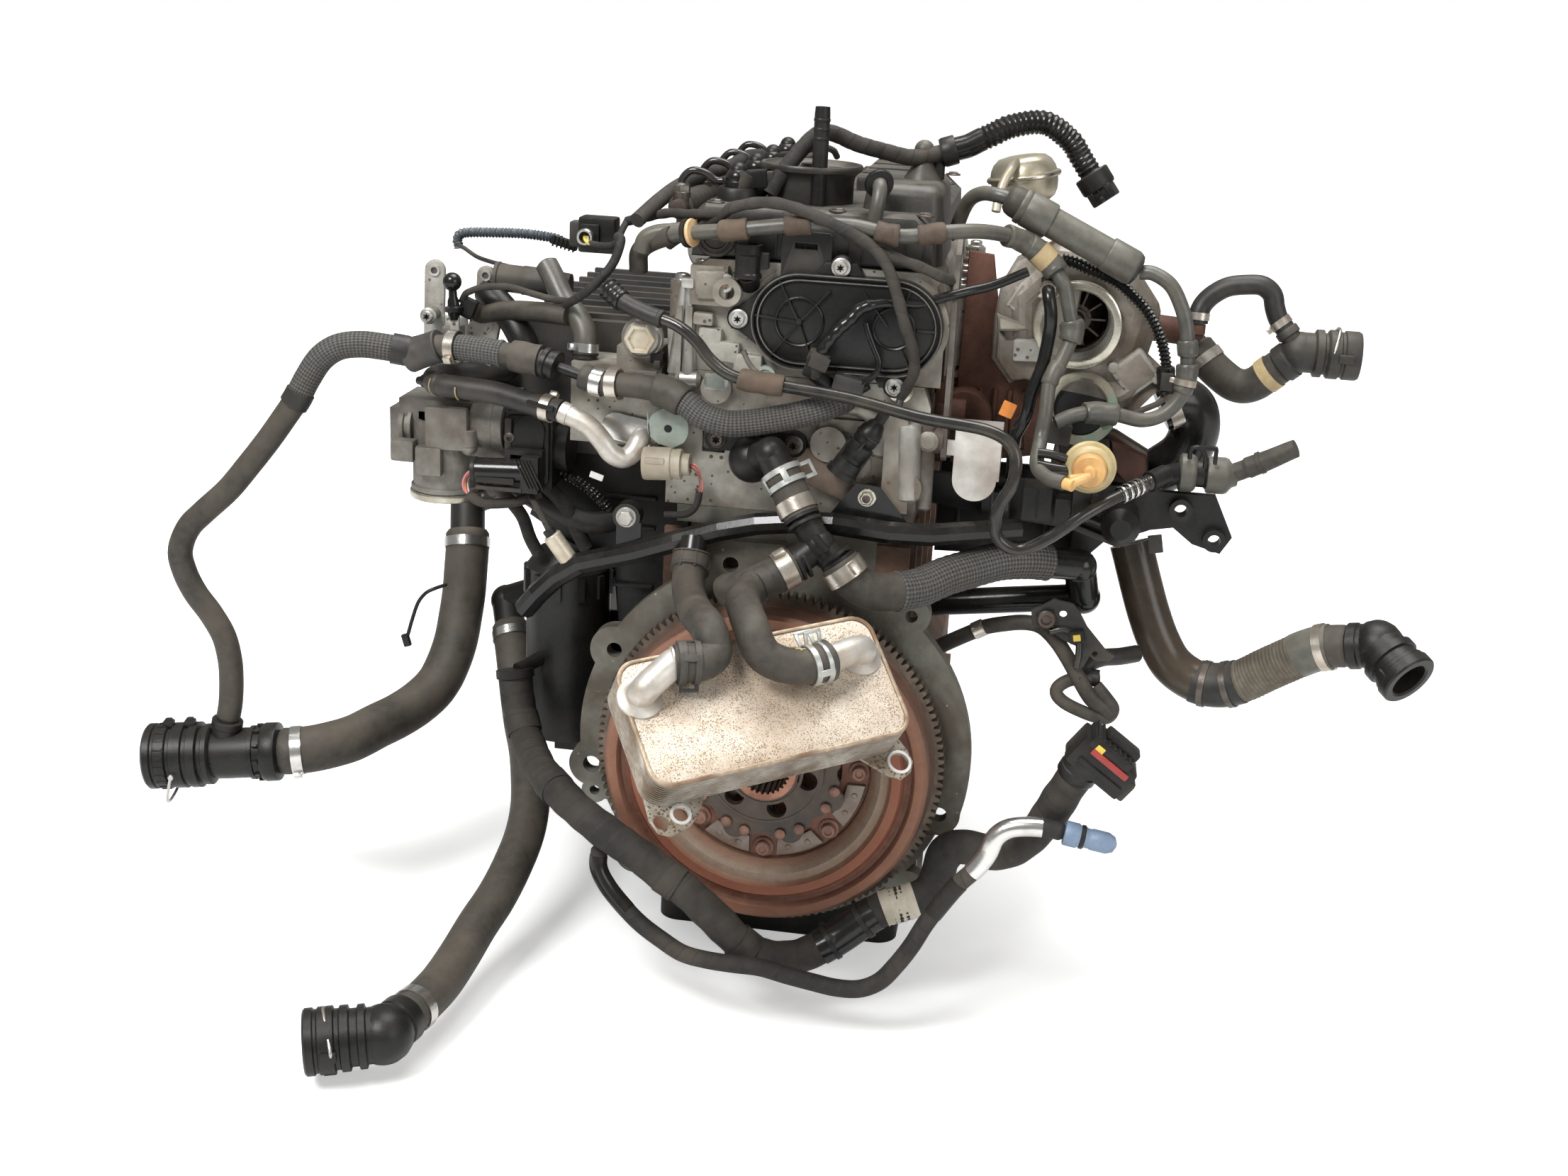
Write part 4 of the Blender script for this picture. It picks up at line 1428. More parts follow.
def left_wiring():
    """Conduit, plugs, wires and looms left of the head."""
    q = Piece("left_wiring_look")
    run = [(-296, 108, 370), (-298, 110, 377), (-292, 110, 382), (-265, 110, 384), (-240, 110, 384.7),
           (-217, 110, 383), (-210, 109, 381)]
    q.tube(run, 4.3, conduit_blue, 0.75, 16, convolutes(4.5, 2.7, 1.1))
    q.block((-207, 108, 380), (22, 8, 7), plastic, tilted(-0.25), 0.8)
    for k in range(6):
        q.block((-215 + 3.4 * k, 104, 381.6 - 0.8 * k), (1.3, 2, 9), plastic, tilted(-0.25), 0.4)
    q.tube([(-296, 106, 372), (-289, 100, 371), (-276, 92, 366), (-262, 84, 364), (-246, 80, 362)], 1.8,
           rubber_dk, 3, 10)
    q.block((-171, 78, 393), (30, 20, 28), plastic, bevel=2.4)
    q.block((-176, 67, 393), (16, 4, 18), plastic, bevel=1.6)
    q.block((-190, 82, 392), (10, 14, 20), satin, bevel=2)
    q.lathe((-178.5, 66, 392.2), (0, -1, 0), [(4.3, -2), (6.6, -2), (6.8, 5), (6.0, 6.2), (4.6, 6.2),
                                              (4.3, 5)], silver, 32, closed=True)
    q.lathe((-178.5, 65, 392.2), (0, -1, 0), [(4.3, 0), (4.3, 0.6)], dark, 24)
    for k, c in enumerate(("yellow", "yellow", "white")):
        q.tube([(-180 + 1.5 * k, 66, 393), (-178 + 1.5 * k, 58, 391 - k), (-173 + k, 52, 388.5),
                (-166, 49, 388)], 0.9, wire_col[c], 2, 8)

    def loom(pts, r):
        q.tube(pts, r, tape, 2.5, 14)

    loom([(-172, 54, 388.4), (-166, 49, 388.4), (-158, 43, 389), (-150, 39, 391), (-146, 38, 396),
          (-145, 46, 402), (-145, 62, 407)], 2.7)
    loom([(-146, 36, 398), (-141, 25, 396), (-146, 20, 379), (-159, 15, 362.7), (-173, 20, 351),
          (-186, 32, 343)], 3.6)
    loom([(-276, 52, 336), (-272, 48, 342), (-268, 45, 345), (-255, 42, 350), (-234, 40, 352),
          (-212, 38, 348), (-196, 34, 346), (-180, 27, 347), (-170, 22, 352)], 2.7)
    loom([(-262, 25, 185), (-254, 24, 180), (-245, 25, 178), (-232, 27, 179), (-221, 30, 181),
          (-206, 38, 187)], 4.2)
    # connector of the throttle motor and its bare wires
    q.rod((-257, 26, 205), (-214, 27, 207), 10.2, gloss)
    q.lathe((-258, 26, 205), (1, 0, 0.05), [(7, -1), (10.8, -0.6), (10.8, 2.4), (10.2, 3)], plastic, 30)
    q.block((-238, 17, 200), (32, 3, 5), plastic, bevel=0.8)
    q.block((-235, 20, 193), (38, 8, 3), satin, bevel=0.8)
    q.block((-210, 28, 206), (15, 22, 30), plastic, bevel=1.4)
    for k in range(5):
        q.block((-215.5 + 2.9 * k, 16.4, 207), (1.1, 2.4, 26), plastic, tilted(0.5), 0.4)
    for k, c in enumerate(("pink", "orange", "pink", "red", "white")):
        q.tube([(-255, 24 + k, 206 - k), (-262, 22 + 1.5 * k, 203 - k), (-266 + 0.6 * k, 22 + k, 195),
                (-265 + 0.8 * k, 24, 187), (-258, 25, 182)], 0.9, wire_col[c], 2, 8)
    q.done(slot="tape")


def left_brackets():
    """Brackets on the left and the details of the throttle."""
    q = Piece("left_brackets_look")
    for x, z, z1, r, y in ((-301, 357.7, 300, 8.4, 60), (-260.5, 355.6, 316, 7.6, 66)):
        q.plate(stadium(x, z, x - 1.5, z1, r, r), y, y + 4, alloy_spot, [(x, z, 2.6)], 0.7)
        q.lathe((x, y, z), (0, -1, 0), [(2.6, 0), (4.6, 0), (4.4, 1.6), (2.8, 1.8)], alloy2, 26, closed=True)
        q.lathe((x, y + 1, z), (0, -1, 0), [(2.8, 0), (2.6, 0.8), (0.2, 0.9)], steel_dark, 20)
    q.block((-291, 66, 300), (34, 9, 42), alloy_spot, tilted(0.1), 3)
    q.block((-276, 70, 270), (40, 10, 64), alloy_dark, bevel=3)
    q.block((-262, 71, 318), (26, 8, 30), alloy_spot, tilted(-0.2), 3)
    q.ball((-281.6, 45, 352), 7.5, gloss, 32)
    q.lathe((-281.4, 45, 346), (0.06, 0, -1), [(3.2, 0), (3.4, 6), (4.6, 9), (4.8, 13), (6.8, 14),
                                               (6.8, 17.5), (5, 18.5), (4, 24)], gloss, 28)
    q.block((-279.5, 45, 317), (7.5, 4, 22), alloy_spot, bevel=1.2)
    q.block((-283, 53, 312), (14, 18, 8), alloy_dark, bevel=1.5)
    screw(q, (-301.2, 44, 323.4), (0, -1, 0), 4.8, alloy2, 5)
    q.rod((-301.2, 62, 323.4), (-301.2, 43, 323.4), 5, alloy_dark)
    q.lathe((-253, 76, 353.4), (32, 0, -1.7), [(7, -2.6), (12.4, -2.2), (12.6, 0.6), (11.2, 1.6),
                                               (11.2, 20), (11.8, 21), (11.6, 38), (10, 60)], satin, 34)
    q.tube([(-264, 74, 344), (-252, 66, 336), (-238, 60, 324), (-228, 54, 312), (-222, 52, 300)], 11.5,
           plastic, 3, 26, soft_end(11.5, 3))
    q.block((-271, 52, 331), (13, 8, 16), plastic, tilted(-0.4), 2)
    # throttle: motor housing, side block, lip and cover
    q.lathe((-266, 52, 236.6), (1, 0, 0.02), [(15, 0), (18.6, 0.8), (19.2, 3), (19.2, 19), (20.4, 20),
                                              (20.4, 28)], alloy_dark, 44)
    q.block((-282, 31, 236), (36, 8, 36), alloy_dark, tilted(0.02), 3.6)
    q.rod((-265, 34, 236), (-265, 34, 222), 7, alloy_dark)
    q.ball((-265, 35, 221), 7, alloy_dark, 24)
    q.lathe((-327, 58, 230), (1, 0, 0), [(12, -2), (15, -1), (15.6, 3), (13.6, 4), (13.6, 6), (16.6, 7),
                                         (16.6, 10)], alloy_dark, 36)
    q.block((-320, 36, 214), (20, 14, 18), alloy_dark, bevel=3)
    q.block((-297, 31, 208), (22, 10, 24), alloy_dark, bevel=2.4)
    q.lathe((-292, 62, 172.2), (0, 0, 1), [(28, 0), (30.2, 0.2), (30.6, 1.6), (30.6, 4.6), (29.6, 5.6),
                                           (28.2, 5.6)], brass_lip, 56)
    q.lathe((-292, 62, 178), (0, 0, 1), [(28.2, 0), (29.6, 1), (29.6, 4), (28.4, 5)], alloy_dark, 56,
            caps=(False, False))
    q.plate(rounded_rect(36, 56, 6, x=-217.5, z=221), 37.6, 42.2, plastic, bevel=1.4)
    q.plate(stadium(-217, 224, -215, 238, 13, 13), 34.6, 38, plastic, bevel=1.2)
    q.block((-232.5, 38, 224), (6, 8, 46), satin, bevel=1.4)
    screw(q, (-231.5, 35, 231.5), (0, -1, 0), 2.6, steel_dark, 2.6)
    q.done(slot="raw_alloy")


def head_end_castings():
    """Posts, plates and a connector at the left of the head's end."""
    q = Piece("head_castings_look")
    for x, t, r in ((-94, -88.5, 5.0), (-82.5, -84, 5.4)):
        q.rod((x, 11, 300), (t, 13, 367), r, alloy_shine, r2=2.6)
    q.block((-88.5, 15, 318), (22, 6, 44), alloy_shine, tilted(0.06), 2.4)
    q.rod((-91, 11, 296), (-72, 11, 296.4), 6.6, alloy_shine, soft=3)
    q.block((-60, 12, 296), (20, 8, 14), alloy_shine, bevel=3)
    # round bracket and its post
    q.plate(circle(-94.3, 258.7, 16.4, 40, -30, 205) + [(-110, 262), (-108, 251), (-102, 246),
                                                        (-90, 243.4), (-82, 248)], -2, 0.6, zinc_green,
            [(-94.3, 258.7, 2.9)], 0.6, n=20)
    q.rod((-95, 16, 264), (-95, 0, 264), 6, alloy_dark)
    # cream connector and its wires
    q.lathe((-111.6, -5, 230.6), (1, 0, 0.06), [(9, -0.6), (12.6, 0), (13.0, 2), (12.8, 22), (11.6, 23),
                                                (11.4, 26)], cream, 34)
    q.lathe((-86.4, -5, 232), (1, 0, 0.03), [(9.4, 0), (12.0, 0.4), (12, 4.6), (8.6, 5.4), (8.6, 11),
                                             (7.4, 11.6), (6.4, 11.6), (6, 8)], cream, 32)
    q.block((-101, -17, 236), (15, 2.4, 5), cream, bevel=0.8)
    q.rod((-100, 16, 236), (-100, 0, 232), 7, plastic)
    for k, c in enumerate(("brown", "pink", "red", "brown", "pink")):
        q.tube([(-79, -6 + 1.5 * math.cos(k * 1.3), 232 + 2.2 * math.sin(k * 1.3)),
                (-72, -7 + k * 0.5, 230 + k * 0.7), (-67.5, -7 + k * 0.4, 224 + k * 0.6),
                (-66.6 + 0.5 * k, -7, 216), (-68 + 0.4 * k, -6, 209)], 0.95, wire_col[c], 2, 8)
    q.tube([(-67, -7, 212), (-68, -6, 204), (-72, -3, 196), (-80, 2, 190), (-96, 8, 187)], 2.8, tape, 2.5, 12)
    q.block((-150, -2, 216), (11, 2, 5), wire_col["white"], tilted(-0.3), 0.6)
    q.lathe((-116.8, 7.8, 326.3), (0, -1, 0), [(11, 0), (11, 1.2), (8.8, 1.6), (8.2, -0.4), (0.2, -0.6)],
            alloy_shine, 40)
    q.block((-107, 11, 311), (10, 8, 8), plastic, bevel=1)
    q.block((-106, 7, 306), (5, 5, 7), satin, bevel=0.8)
    # shelf and webs of the head's end face
    q.block((-118, 14, 298), (22, 5, 4), alloy_dark, bevel=1)
    q.block((-100, 14, 279), (36, 4, 5), alloy_dark, tilted(-0.12), 1.4)
    q.rod((-112, 12, 282), (-86, 12, 282), 7, alloy_dark, soft=2.5)
    return q.done(slot="raw_alloy")


line_hoses()
left_wiring()
left_brackets()
head_end_castings()


# ---- end of the head: oval cover, bolts, sensor and the looms over it -------

LEFT_CAM_X, RIGHT_CAM_X, CAM_Z = 2.5, 74.5, 348
OVAL = ((LEFT_CAM_X, CAM_Z), (RIGHT_CAM_X, CAM_Z))


def oval(r, n=22):
    """Outline of the end cover at r from its two centres."""
    return stadium(*OVAL[0], *OVAL[1], r, n=n)


def end_cover():
    """Oval cover over the cam ends, with lugs, ribs and hubs."""
    q = Piece("end_cover_look")
    q.plate(oval(37), 5.5, 14, ink, bevel=0.8)
    for r0, r1, y in ((36.8, 34.6, 2.2), (32.4, 30.6, 3.4)):
        q.plate(oval(r0), y, 8, ink, [oval(r1)[::-1]], 0.6)
        q.plate(oval(r0 - 0.3), y - 0.5, y + 0.4, rim_worn, [oval(r0 - 1.1)[::-1]], 0.1)
    for x, z, r in ((-44, 347, 9), (32, 391, 8.6), (78, 304, 9)):
        q.rod((x, 14, z), (x, 5, z), r, ink, soft=1)
    q.plate([(-44, 356), (-26, 372), (-24, 324), (-44, 338)], 5.5, 13.5, ink, bevel=0.8)
    q.plate([(20, 394), (44, 394), (52, 383), (12, 383)], 5.5, 13.5, ink, bevel=0.8)
    q.plate([(66, 302), (90, 304), (94, 320), (60, 314)], 5.5, 13.5, ink, bevel=0.8)
    for (x, z), r in zip(OVAL, (19, 16.5)):
        q.lathe((x, 7, z), (0, -1, 0), [(r - 2.2, 0), (r + 0.6, 0), (r, 3.4), (r - 0.8, 4),
                                        (r - 1.8, 3.4)], ink, 48, closed=True)
        q.lathe((x, 6.2, z), (0, -1, 0), [(r - 2, 0), (r - 2, 0.5), (0.2, 0.6)], ink, 40)
    q.rod((LEFT_CAM_X, 8, CAM_Z), (LEFT_CAM_X, 1.8, CAM_Z), 2.6, ink)
    for a in (118, 175, 233, 292, 48):
        c, s = polar(1, a)
        q.block((LEFT_CAM_X + 17 * c, 4.6, CAM_Z + 17 * s), (34, 3.4, 1.5), ink, ((c, 0, s), (0, 1, 0)), 0.5)
    q.block((60, 4.6, 362), (32, 3.4, 1.5), ink, ((-0.62, 0, 0.78), (0, 1, 0)), 0.5)
    for a in (70, -65, 0):
        c, s = polar(1, a)
        q.block((RIGHT_CAM_X + 25 * c, 4.6, CAM_Z + 25 * s), (16, 3.4, 1.5), ink, ((c, 0, s), (0, 1, 0)), 0.5)
    q.plate([(-14, 381), (24, 381), (24, 413), (22, 415), (-12, 415), (-14, 413)], 8.4, 11.6, satin,
            [[(-4, 402), (13, 402), (13, 406.5), (-4, 406.5)]], 0.7)
    q.done("end_cover")


def all_bolts():
    """Bolts, screws, nuts and the plug of the head."""
    q = Piece("bolts_look")
    out = (0, -1, 0)
    for x, z in ((-44, 347), (32, 391), (78, 304)):
        q.rod((x, 13, z), (x, 4, z), 3, steel)
        screw(q, (x, 5, z), out, 5.4, alloy_shine, 4.6, 0.46)
    for x in (-57, 3):
        q.rod((x, 14, 252), (x, 6, 252), 3, steel_dark)
        screw(q, (x, 7, 252), out, 5.6, steel_dark, 5.2, 0.5)
    q.bolt((-126, 0.7, 184), out, 6.5, alloy_shine, 6)
    q.bolt((63, 0, 217), out, 5.5, brass_lip, 5)
    q.lathe((63, -5, 217), out, [(3.4, -1), (3.2, 0.6), (2.2, 1)], steel_dark, 20)
    for x, lo in ((-95, 0), (117, 1)):
        for i in range(lo, 5):
            screw(q, (x, 40 + i * 80, 367.5), (0, 0, 1), 5.4, steel, 5.6)
    for i in range(4):
        for z in (240.5, 295.5):
            q.bolt((115.3, 108 + i * 82, z), (1, 0, 0), 5, stud_rust, 7)
            q.rod((115.3, 108 + i * 82, z), (125, 108 + i * 82, z), 2.6, stud_rust)
    for i in range(6):
        for s in (-1, 1):
            q.bolt((s * 113, 92 + i * 56, -116.3), (0, 0, -1), 4.5, steel, 4)
    q.lathe((-119, 6, 326), out, [(15, -2), (13.6, 0), (13.4, 1), (12.4, 1.6)], alloy_shine, 40)
    q.lathe((-119, 4.4, 326), out, [(12.6, 0), (12.6, 4.4), (11.8, 5.2), (9.2, 5.4), (8.8, 4.4),
                                    (8.2, 2.8), (0.2, 2.6)], cream_metal, 6, up=(1, 0, 0))
    q.done("bolts")


def sensors_and_looms():
    """Looms, tubes, sensor and plug in front of the head."""
    q = Piece("head_wiring_look")

    def loom(pts, r):
        q.tube(pts, r, tape, 2.2, 18, lambda s, L, a: r + 0.25 * math.sin(s * 0.35) + 0.2 * math.sin(2 * a))

    loom([(-80, 22, 408), (-68, 14, 416), (-58, 8, 425), (-51, 4, 430), (-32, 0, 435), (-15, -6, 436),
          (7, -8, 431), (28, -9, 423.4), (47, -9, 415), (61, -9, 405), (70, -10, 392), (77, -10, 374),
          (83, -10, 356), (88, -8, 343), (92, -5, 329), (92, -1, 317), (88, 3, 306), (83, 7, 296)], 4.4)
    loom([(20, -2, 426), (46, 0, 411), (70, 2, 402), (92, 6, 395), (108, 12, 388), (116, 22, 384)], 4.0)
    loom([(-145, 60, 407), (-128, 54, 412), (-108, 40, 418), (-92, 26, 420), (-78, 16, 422),
          (-58, 8, 425)], 3.6)
    # shiny tube with its connector, and the thin tube beside it
    tube = [(21, -9, 322), (24, -9, 332), (33, -8, 345), (43, -6, 355), (50, -4, 363), (63, -1, 367),
            (78, 3, 368), (94, 8, 368), (106, 12, 372), (116, 14, 375), (128, 20, 378), (146, 26, 383),
            (170, 32, 394)]
    q.tube(tube, 3.7, gloss, 2, 20, lambda s, L, a: 3.7 if s > 62 else 4.6 + 0.3 * math.sin(s * 0.8))
    q.tube([(54, -3, 352), (56, -4, 346), (61, -5, 335), (66, -6, 324), (64, -7, 315), (57, -6, 309),
            (51, -5, 304), (46, -2, 298)], 2.4, gloss, 2, 16)
    axis = Vector((-0.35, 0.1, -1)).normalized()
    q.lathe((22, -9, 329), axis, [(5.2, 0), (8.2, 0.5), (8.4, 8), (7.4, 9), (7.4, 20)], satin, 30)
    q.block((22, -15, 322), (15, 5, 11), satin, tilted(-0.35), 1.2)
    q.block((15, -9, 318), (7, 12, 16), plastic, tilted(-0.35), 1)
    q.rod((18, -8, 312), (30, 2, 300), 6, plastic)
    q.block((44, -2, 305), (24, 12, 12), satin_dark, tilted(-0.2), 1.6)
    q.rod((52, 0, 302), (58, 0, 306), 5, plastic)
    # pale clip strap under the connector
    q.block((76, 10, 306), (5, 6, 16), plastic, bevel=1)
    # angled sensor with its boot and hanger
    top, low = Vector((71, -2, 282)), Vector((38, -6, 229))
    d = (low - top).normalized()
    q.lathe(top - 4 * d, d, [(3.4, 0), (4.4, 1), (4.4, 9), (6.4, 11), (7.6, 14), (9.2, 17), (9.8, 22),
                             (9.4, 28), (8.4, 29.5), (10.2, 31), (10.4, 40), (9.2, 42), (9.2, 45),
                             (11, 46), (11.2, 54), (12.4, 55), (12.6, 60)], plastic, 34)
    q.lathe(top + 17 * d, d, [(9.6, 0), (10.3, 0.6), (10.3, 2), (9.6, 2.6)], gloss, 30, caps=(False, False))
    side = d.cross(Vector((0, 1, 0))).normalized()
    for k in (-1, 1):
        q.block(top + 36 * d + side * 9.6 * k, (18, 9, 2.4), plastic, (d, (0, 1, 0)), 0.8)
    q.block(top + 24 * d + Vector((0, -9, 0)), (10, 2.6, 7), gloss, (d, side), 0.8)
    q.tube([(83, 7, 296), (82, 4, 290), (76, 0, 286), (71, -2, 284)], 3.0, rubber_dk, 2, 14)
    # plug with its round socket above the cover
    q.lathe((-38, 2, 404), (0, 0, -1), [(8.2, 0), (10.4, 0.3), (10.6, 7), (9.8, 8), (9.8, 21), (11, 22),
                                        (11, 25)], gloss, 34, caps=(False, True))
    q.lathe((-38, 2, 403.6), (0, 0, -1), [(8.2, 0), (8.0, 9), (0.2, 9.2)], dark, 30, caps=(False, False))
    q.rod((-38, 2, 382), (-38, 15, 372), 8, plastic)
    q.block((-26, 4, 392), (8, 8, 12), plastic, bevel=1.4)
    q.done(slot="tape")


def head_end_details():
    """Lug, steps, bosses and webs of the casting round the end cover."""
    q = Piece("head_end_look")
    # casting round the cover: bolt lug, steps and webs
    q.block((-66, 8, 371), (24, 10, 22), head_alloy, tilted(0.05), 2.6)
    q.block((-84, 8, 371), (10, 8, 8), alloy_shine, bevel=2)
    q.lathe((-55.8, 4, 373), (0, -1, 0), [(7.4, -3), (7.4, 0), (6.6, 0.8), (4.4, 0.8), (4.2, -1)],
            alloy_shine, 32)
    q.rod((-55.8, 4.4, 373), (-55.8, 1, 373), 3.2, stud_rust)
    for x, z, w, h in ((-56, 320, 26, 16), (-66, 331, 18, 13), (-36, 312, 22, 15), (-30, 301, 34, 8),
                       (-72, 344, 16, 10)):
        q.block((x, 12, z), (w, 9, h), head_alloy, tilted(-0.05), 2.6)
    q.tube([(-40, 9, 322), (-34, 8, 312), (-26, 8, 305), (-14, 9, 301)], 2.2, alloy_dark, 2.5, 12)
    q.lathe((-22, 11, 303), (0, -1, 0), [(9, 0), (8.6, 3), (6, 3.4), (5, 2), (0.2, 1.8)], zinc_green, 28)
    # raised frame of a bare label place, and the round boss beside it
    for a, b in (((73, 253.4), (99, 252.8)), ((73.8, 240.4), (99, 239)), ((73, 253), (73.8, 240.4)),
                 ((99, 252.8), (99, 239))):
        q.rod((a[0], 12.6, a[1]), (b[0], 12.6, b[1]), 1.2, head_alloy, n=10, soft=0.3)
    q.block((86, 15.4, 246), (28, 5, 16), head_alloy, bevel=1)
    q.rod((89, 16, 275), (92, 16, 214), 11.5, alloy_shine, soft=2)
    q.rod((104, 20, 282), (105, 20, 206), 7, alloy_dark, soft=2)
    for x, z, r in ((70, 262, 17), (49, 238, 15), (106, 262, 8)):
        q.rod((x, 20, z), (x, 9 if r < 17 else 11, z), r, head_alloy, soft=3)
    q.tube([(8, 12, 274), (28, 10, 282), (50, 10, 283), (64, 11, 276)], 5, head_alloy, 3, 16)
    q.plate(stadium(20, 236, 46, 222, 16, 12), 7, 14, rust_cast, bevel=2.2)
    q.lathe((82.5, 9.4, 301), (0, -1, 0), [(9.6, 0), (9.6, 1.2), (5.4, 1.6), (5.2, 4.6), (3, 5)],
            brass_lip, 30)
    q.plate(circle(-94.3, 258.7, 2.9, 14), -2.4, -1.8, dark, bevel=0.1)
    q.done(slot="raw_alloy")


end_cover()
all_bolts()
sensors_and_looms()
head_end_details()


# ---- turbo side -------------------------------------------------------------

def where(P, x=None, z=None):
    """Length along a route at its point nearest to x and z."""
    pts, S = sampled(P, 2.0)
    return min(zip(pts, S), key=lambda t: ((t[0].x - x) ** 2 if x is not None
                                           else 0) + ((t[0].z - z) ** 2 if z is not None else 0))[1]


def thin_hoses():
    """Breather hose, resonator, vacuum pipe and charge pipe."""
    q = Piece("breather_hose_look")
    P = BREATHER
    q.tube(P, 5.6, hose_grey, 2, 22)
    q.tube(P, 7.4, rubber, 2.4, 22, part=(0, where(P, -100, 405)))
    at, d = at_length(P, where(P, -84, 408))
    q.lathe(at - 4 * d, d, [(6, 0), (10.6, 0.3), (11, 1.6), (11, 4), (6, 4.4)], plastic, 34)
    q.lathe(at + 0.6 * d, d, [(6, 0), (10.2, 0.2), (10.8, 1.4), (10.2, 3), (6, 3.4)], wood_washer, 34)
    for a, b, r, m in (((-60, 413), (-38, 416), 8.2, sleeve_brown), ((-11, 420), (10, 422), 7.6,
            sleeve_brown), ((56, 420), (74, 418), 8.2, sleeve_brown), ((88, 419), (107, 422), 7.8,
            sleeve_brown), ((152, 419), (170, 412), 8.4, hose_grey), ((168, 413), (192, 394), 9.4,
            hose_grey), ((204, 358), (204, 344), 9.2, hose_grey), ((194, 330), (190, 312), 6.6,
            hose_grey)):
        collar(q, P, where(P, *a), where(P, *b), r, m)
    q.band(P, where(P, 181, 404), 9.6, mark, 12, 0.5, lug=False)
    q.done("breather_hose")
    q = Piece("resonator_look")
    p, d = Vector((152, 56, 444)), Vector((98, 0, -46)).normalized()
    q.lathe(p, d, [(4.5, -4), (8.4, -3), (11, 0), (12, 4), (12.2, 9), (11, 9.6)], satin, 40)
    q.lathe(p, d, [(11, 8), (13.4, 8.4), (14, 9.6), (14, 12.6), (13.4, 13.4), (14, 14.2), (14, 34),
                   (13.2, 35.2), (11.6, 35.6)], olive, 44)
    q.lathe(p, d, [(11.8, 34), (11.8, 86)], olive, 44)
    q.lathe(p, d, [(11.6, 83.6), (13.2, 84), (13.6, 85.2), (13.6, 105), (12.6, 108), (9, 110.4),
                   (5.6, 111)], olive, 44)
    q.lathe(p, d, [(11.4, 105), (12.6, 107.6), (11.4, 110), (8, 111.4), (5, 111.6)], satin, 40)
    q.tube(RESONATOR_IN, 5.6, hose_grey, 2, 20)
    P = RESONATOR_OUT
    q.tube(P, 5.6, hose_grey, 2, 20)
    for a, b, r in (((294, 350), (297, 337), 7.8), ((297, 331), (297, 319), 8.4), ((297, 316), (296, 308),
            7.2), ((247, 289), (222, 290), 8.6)):
        collar(q, P, where(P, *a), where(P, *b), r, hose_grey)
    q.band(P, where(P, 297, 317), 7.4, band_steel, 5, 1.0, True, 2.0)
    q.done("resonator")
    q = Piece("vacuum_pipe_look")
    P = VACUUM
    q.tube(P, 4.7, gloss_pipe, 1.6, 24)
    q.tube(P, 8.6, gloss, 1.2, 26, convolutes(8.8, 5, 1.0), part=(0, 17))
    q.tube(P, 6.8, rubber_dk, 2, 22, part=(15, 52))
    collar(q, P, 50, 54, 7.2, rubber_dk, 0)
    collar(q, P, where(P, -36, 305), where(P, -3, 304), 8.4, sleeve_brown)
    L = sampled(P, 2.0)[1][-1]
    q.tube(P, 6.6, gloss_pipe, 1, 24, convolutes(6.8, 6, 1.9), part=(L - 34, -1))
    for k in range(4):
        at, d = at_length(P, L - 31 + 6 * k)
        q.lathe(at - 1.2 * d, d, [(6.2, 0), (6.9, 0.4), (6.9, 2), (6.2, 2.4)], silver, 26, closed=True)
    q.done("vacuum_pipe")
    q = Piece("charge_pipe_look")
    q.tube(CHARGE_PIPE, 20, gloss, 2.4, 40, lambda s, L,
           a: 20 - 0.8 * math.exp(-(s / 6) ** 2) - 0.8 * math.exp(-((L - s) / 6) ** 2))
    q.band(CHARGE_PIPE, 9, 20, band_steel, 10, 1.0, True, 2.2)
    q.band(CHARGE_PIPE, -9, 20, band_steel, 10, 1.0, True, 3.4)
    q.done("charge_pipe")


def vacuum_can():
    """Vacuum can with its small pipe."""
    q = Piece("vacuum_can_look")
    d = Vector((-0.2, 0, 1)).normalized()
    q.lathe((164.6, 160, 422.1), d, [(8, 0), (8, 10), (19, 10.4), (23, 13), (25.6, 18), (26.8, 24),
                                     (27, 28), (29, 28.4), (29.5, 29.4), (29.5, 31.6), (29, 32.6),
                                     (27, 33), (26, 37), (23.4, 42), (19, 45.6), (12, 47), (4, 47)],
            gold_pale, 56)
    q.lathe((164.6, 160, 422.1), d, [(29.6, 29.2), (30, 29.6), (30, 31.4), (29.6, 31.8)], brass_lip, 56,
            caps=(False, False))
    q.tube([(153, 148, 462), (151, 136, 464), (148, 124, 459), (144, 118, 450), (141, 114, 438),
            (140, 110, 428)], 3.6, cream_metal, 2, 18)
    q.done("vacuum_can")


TURBO_X, TURBO_Z = 211, 350


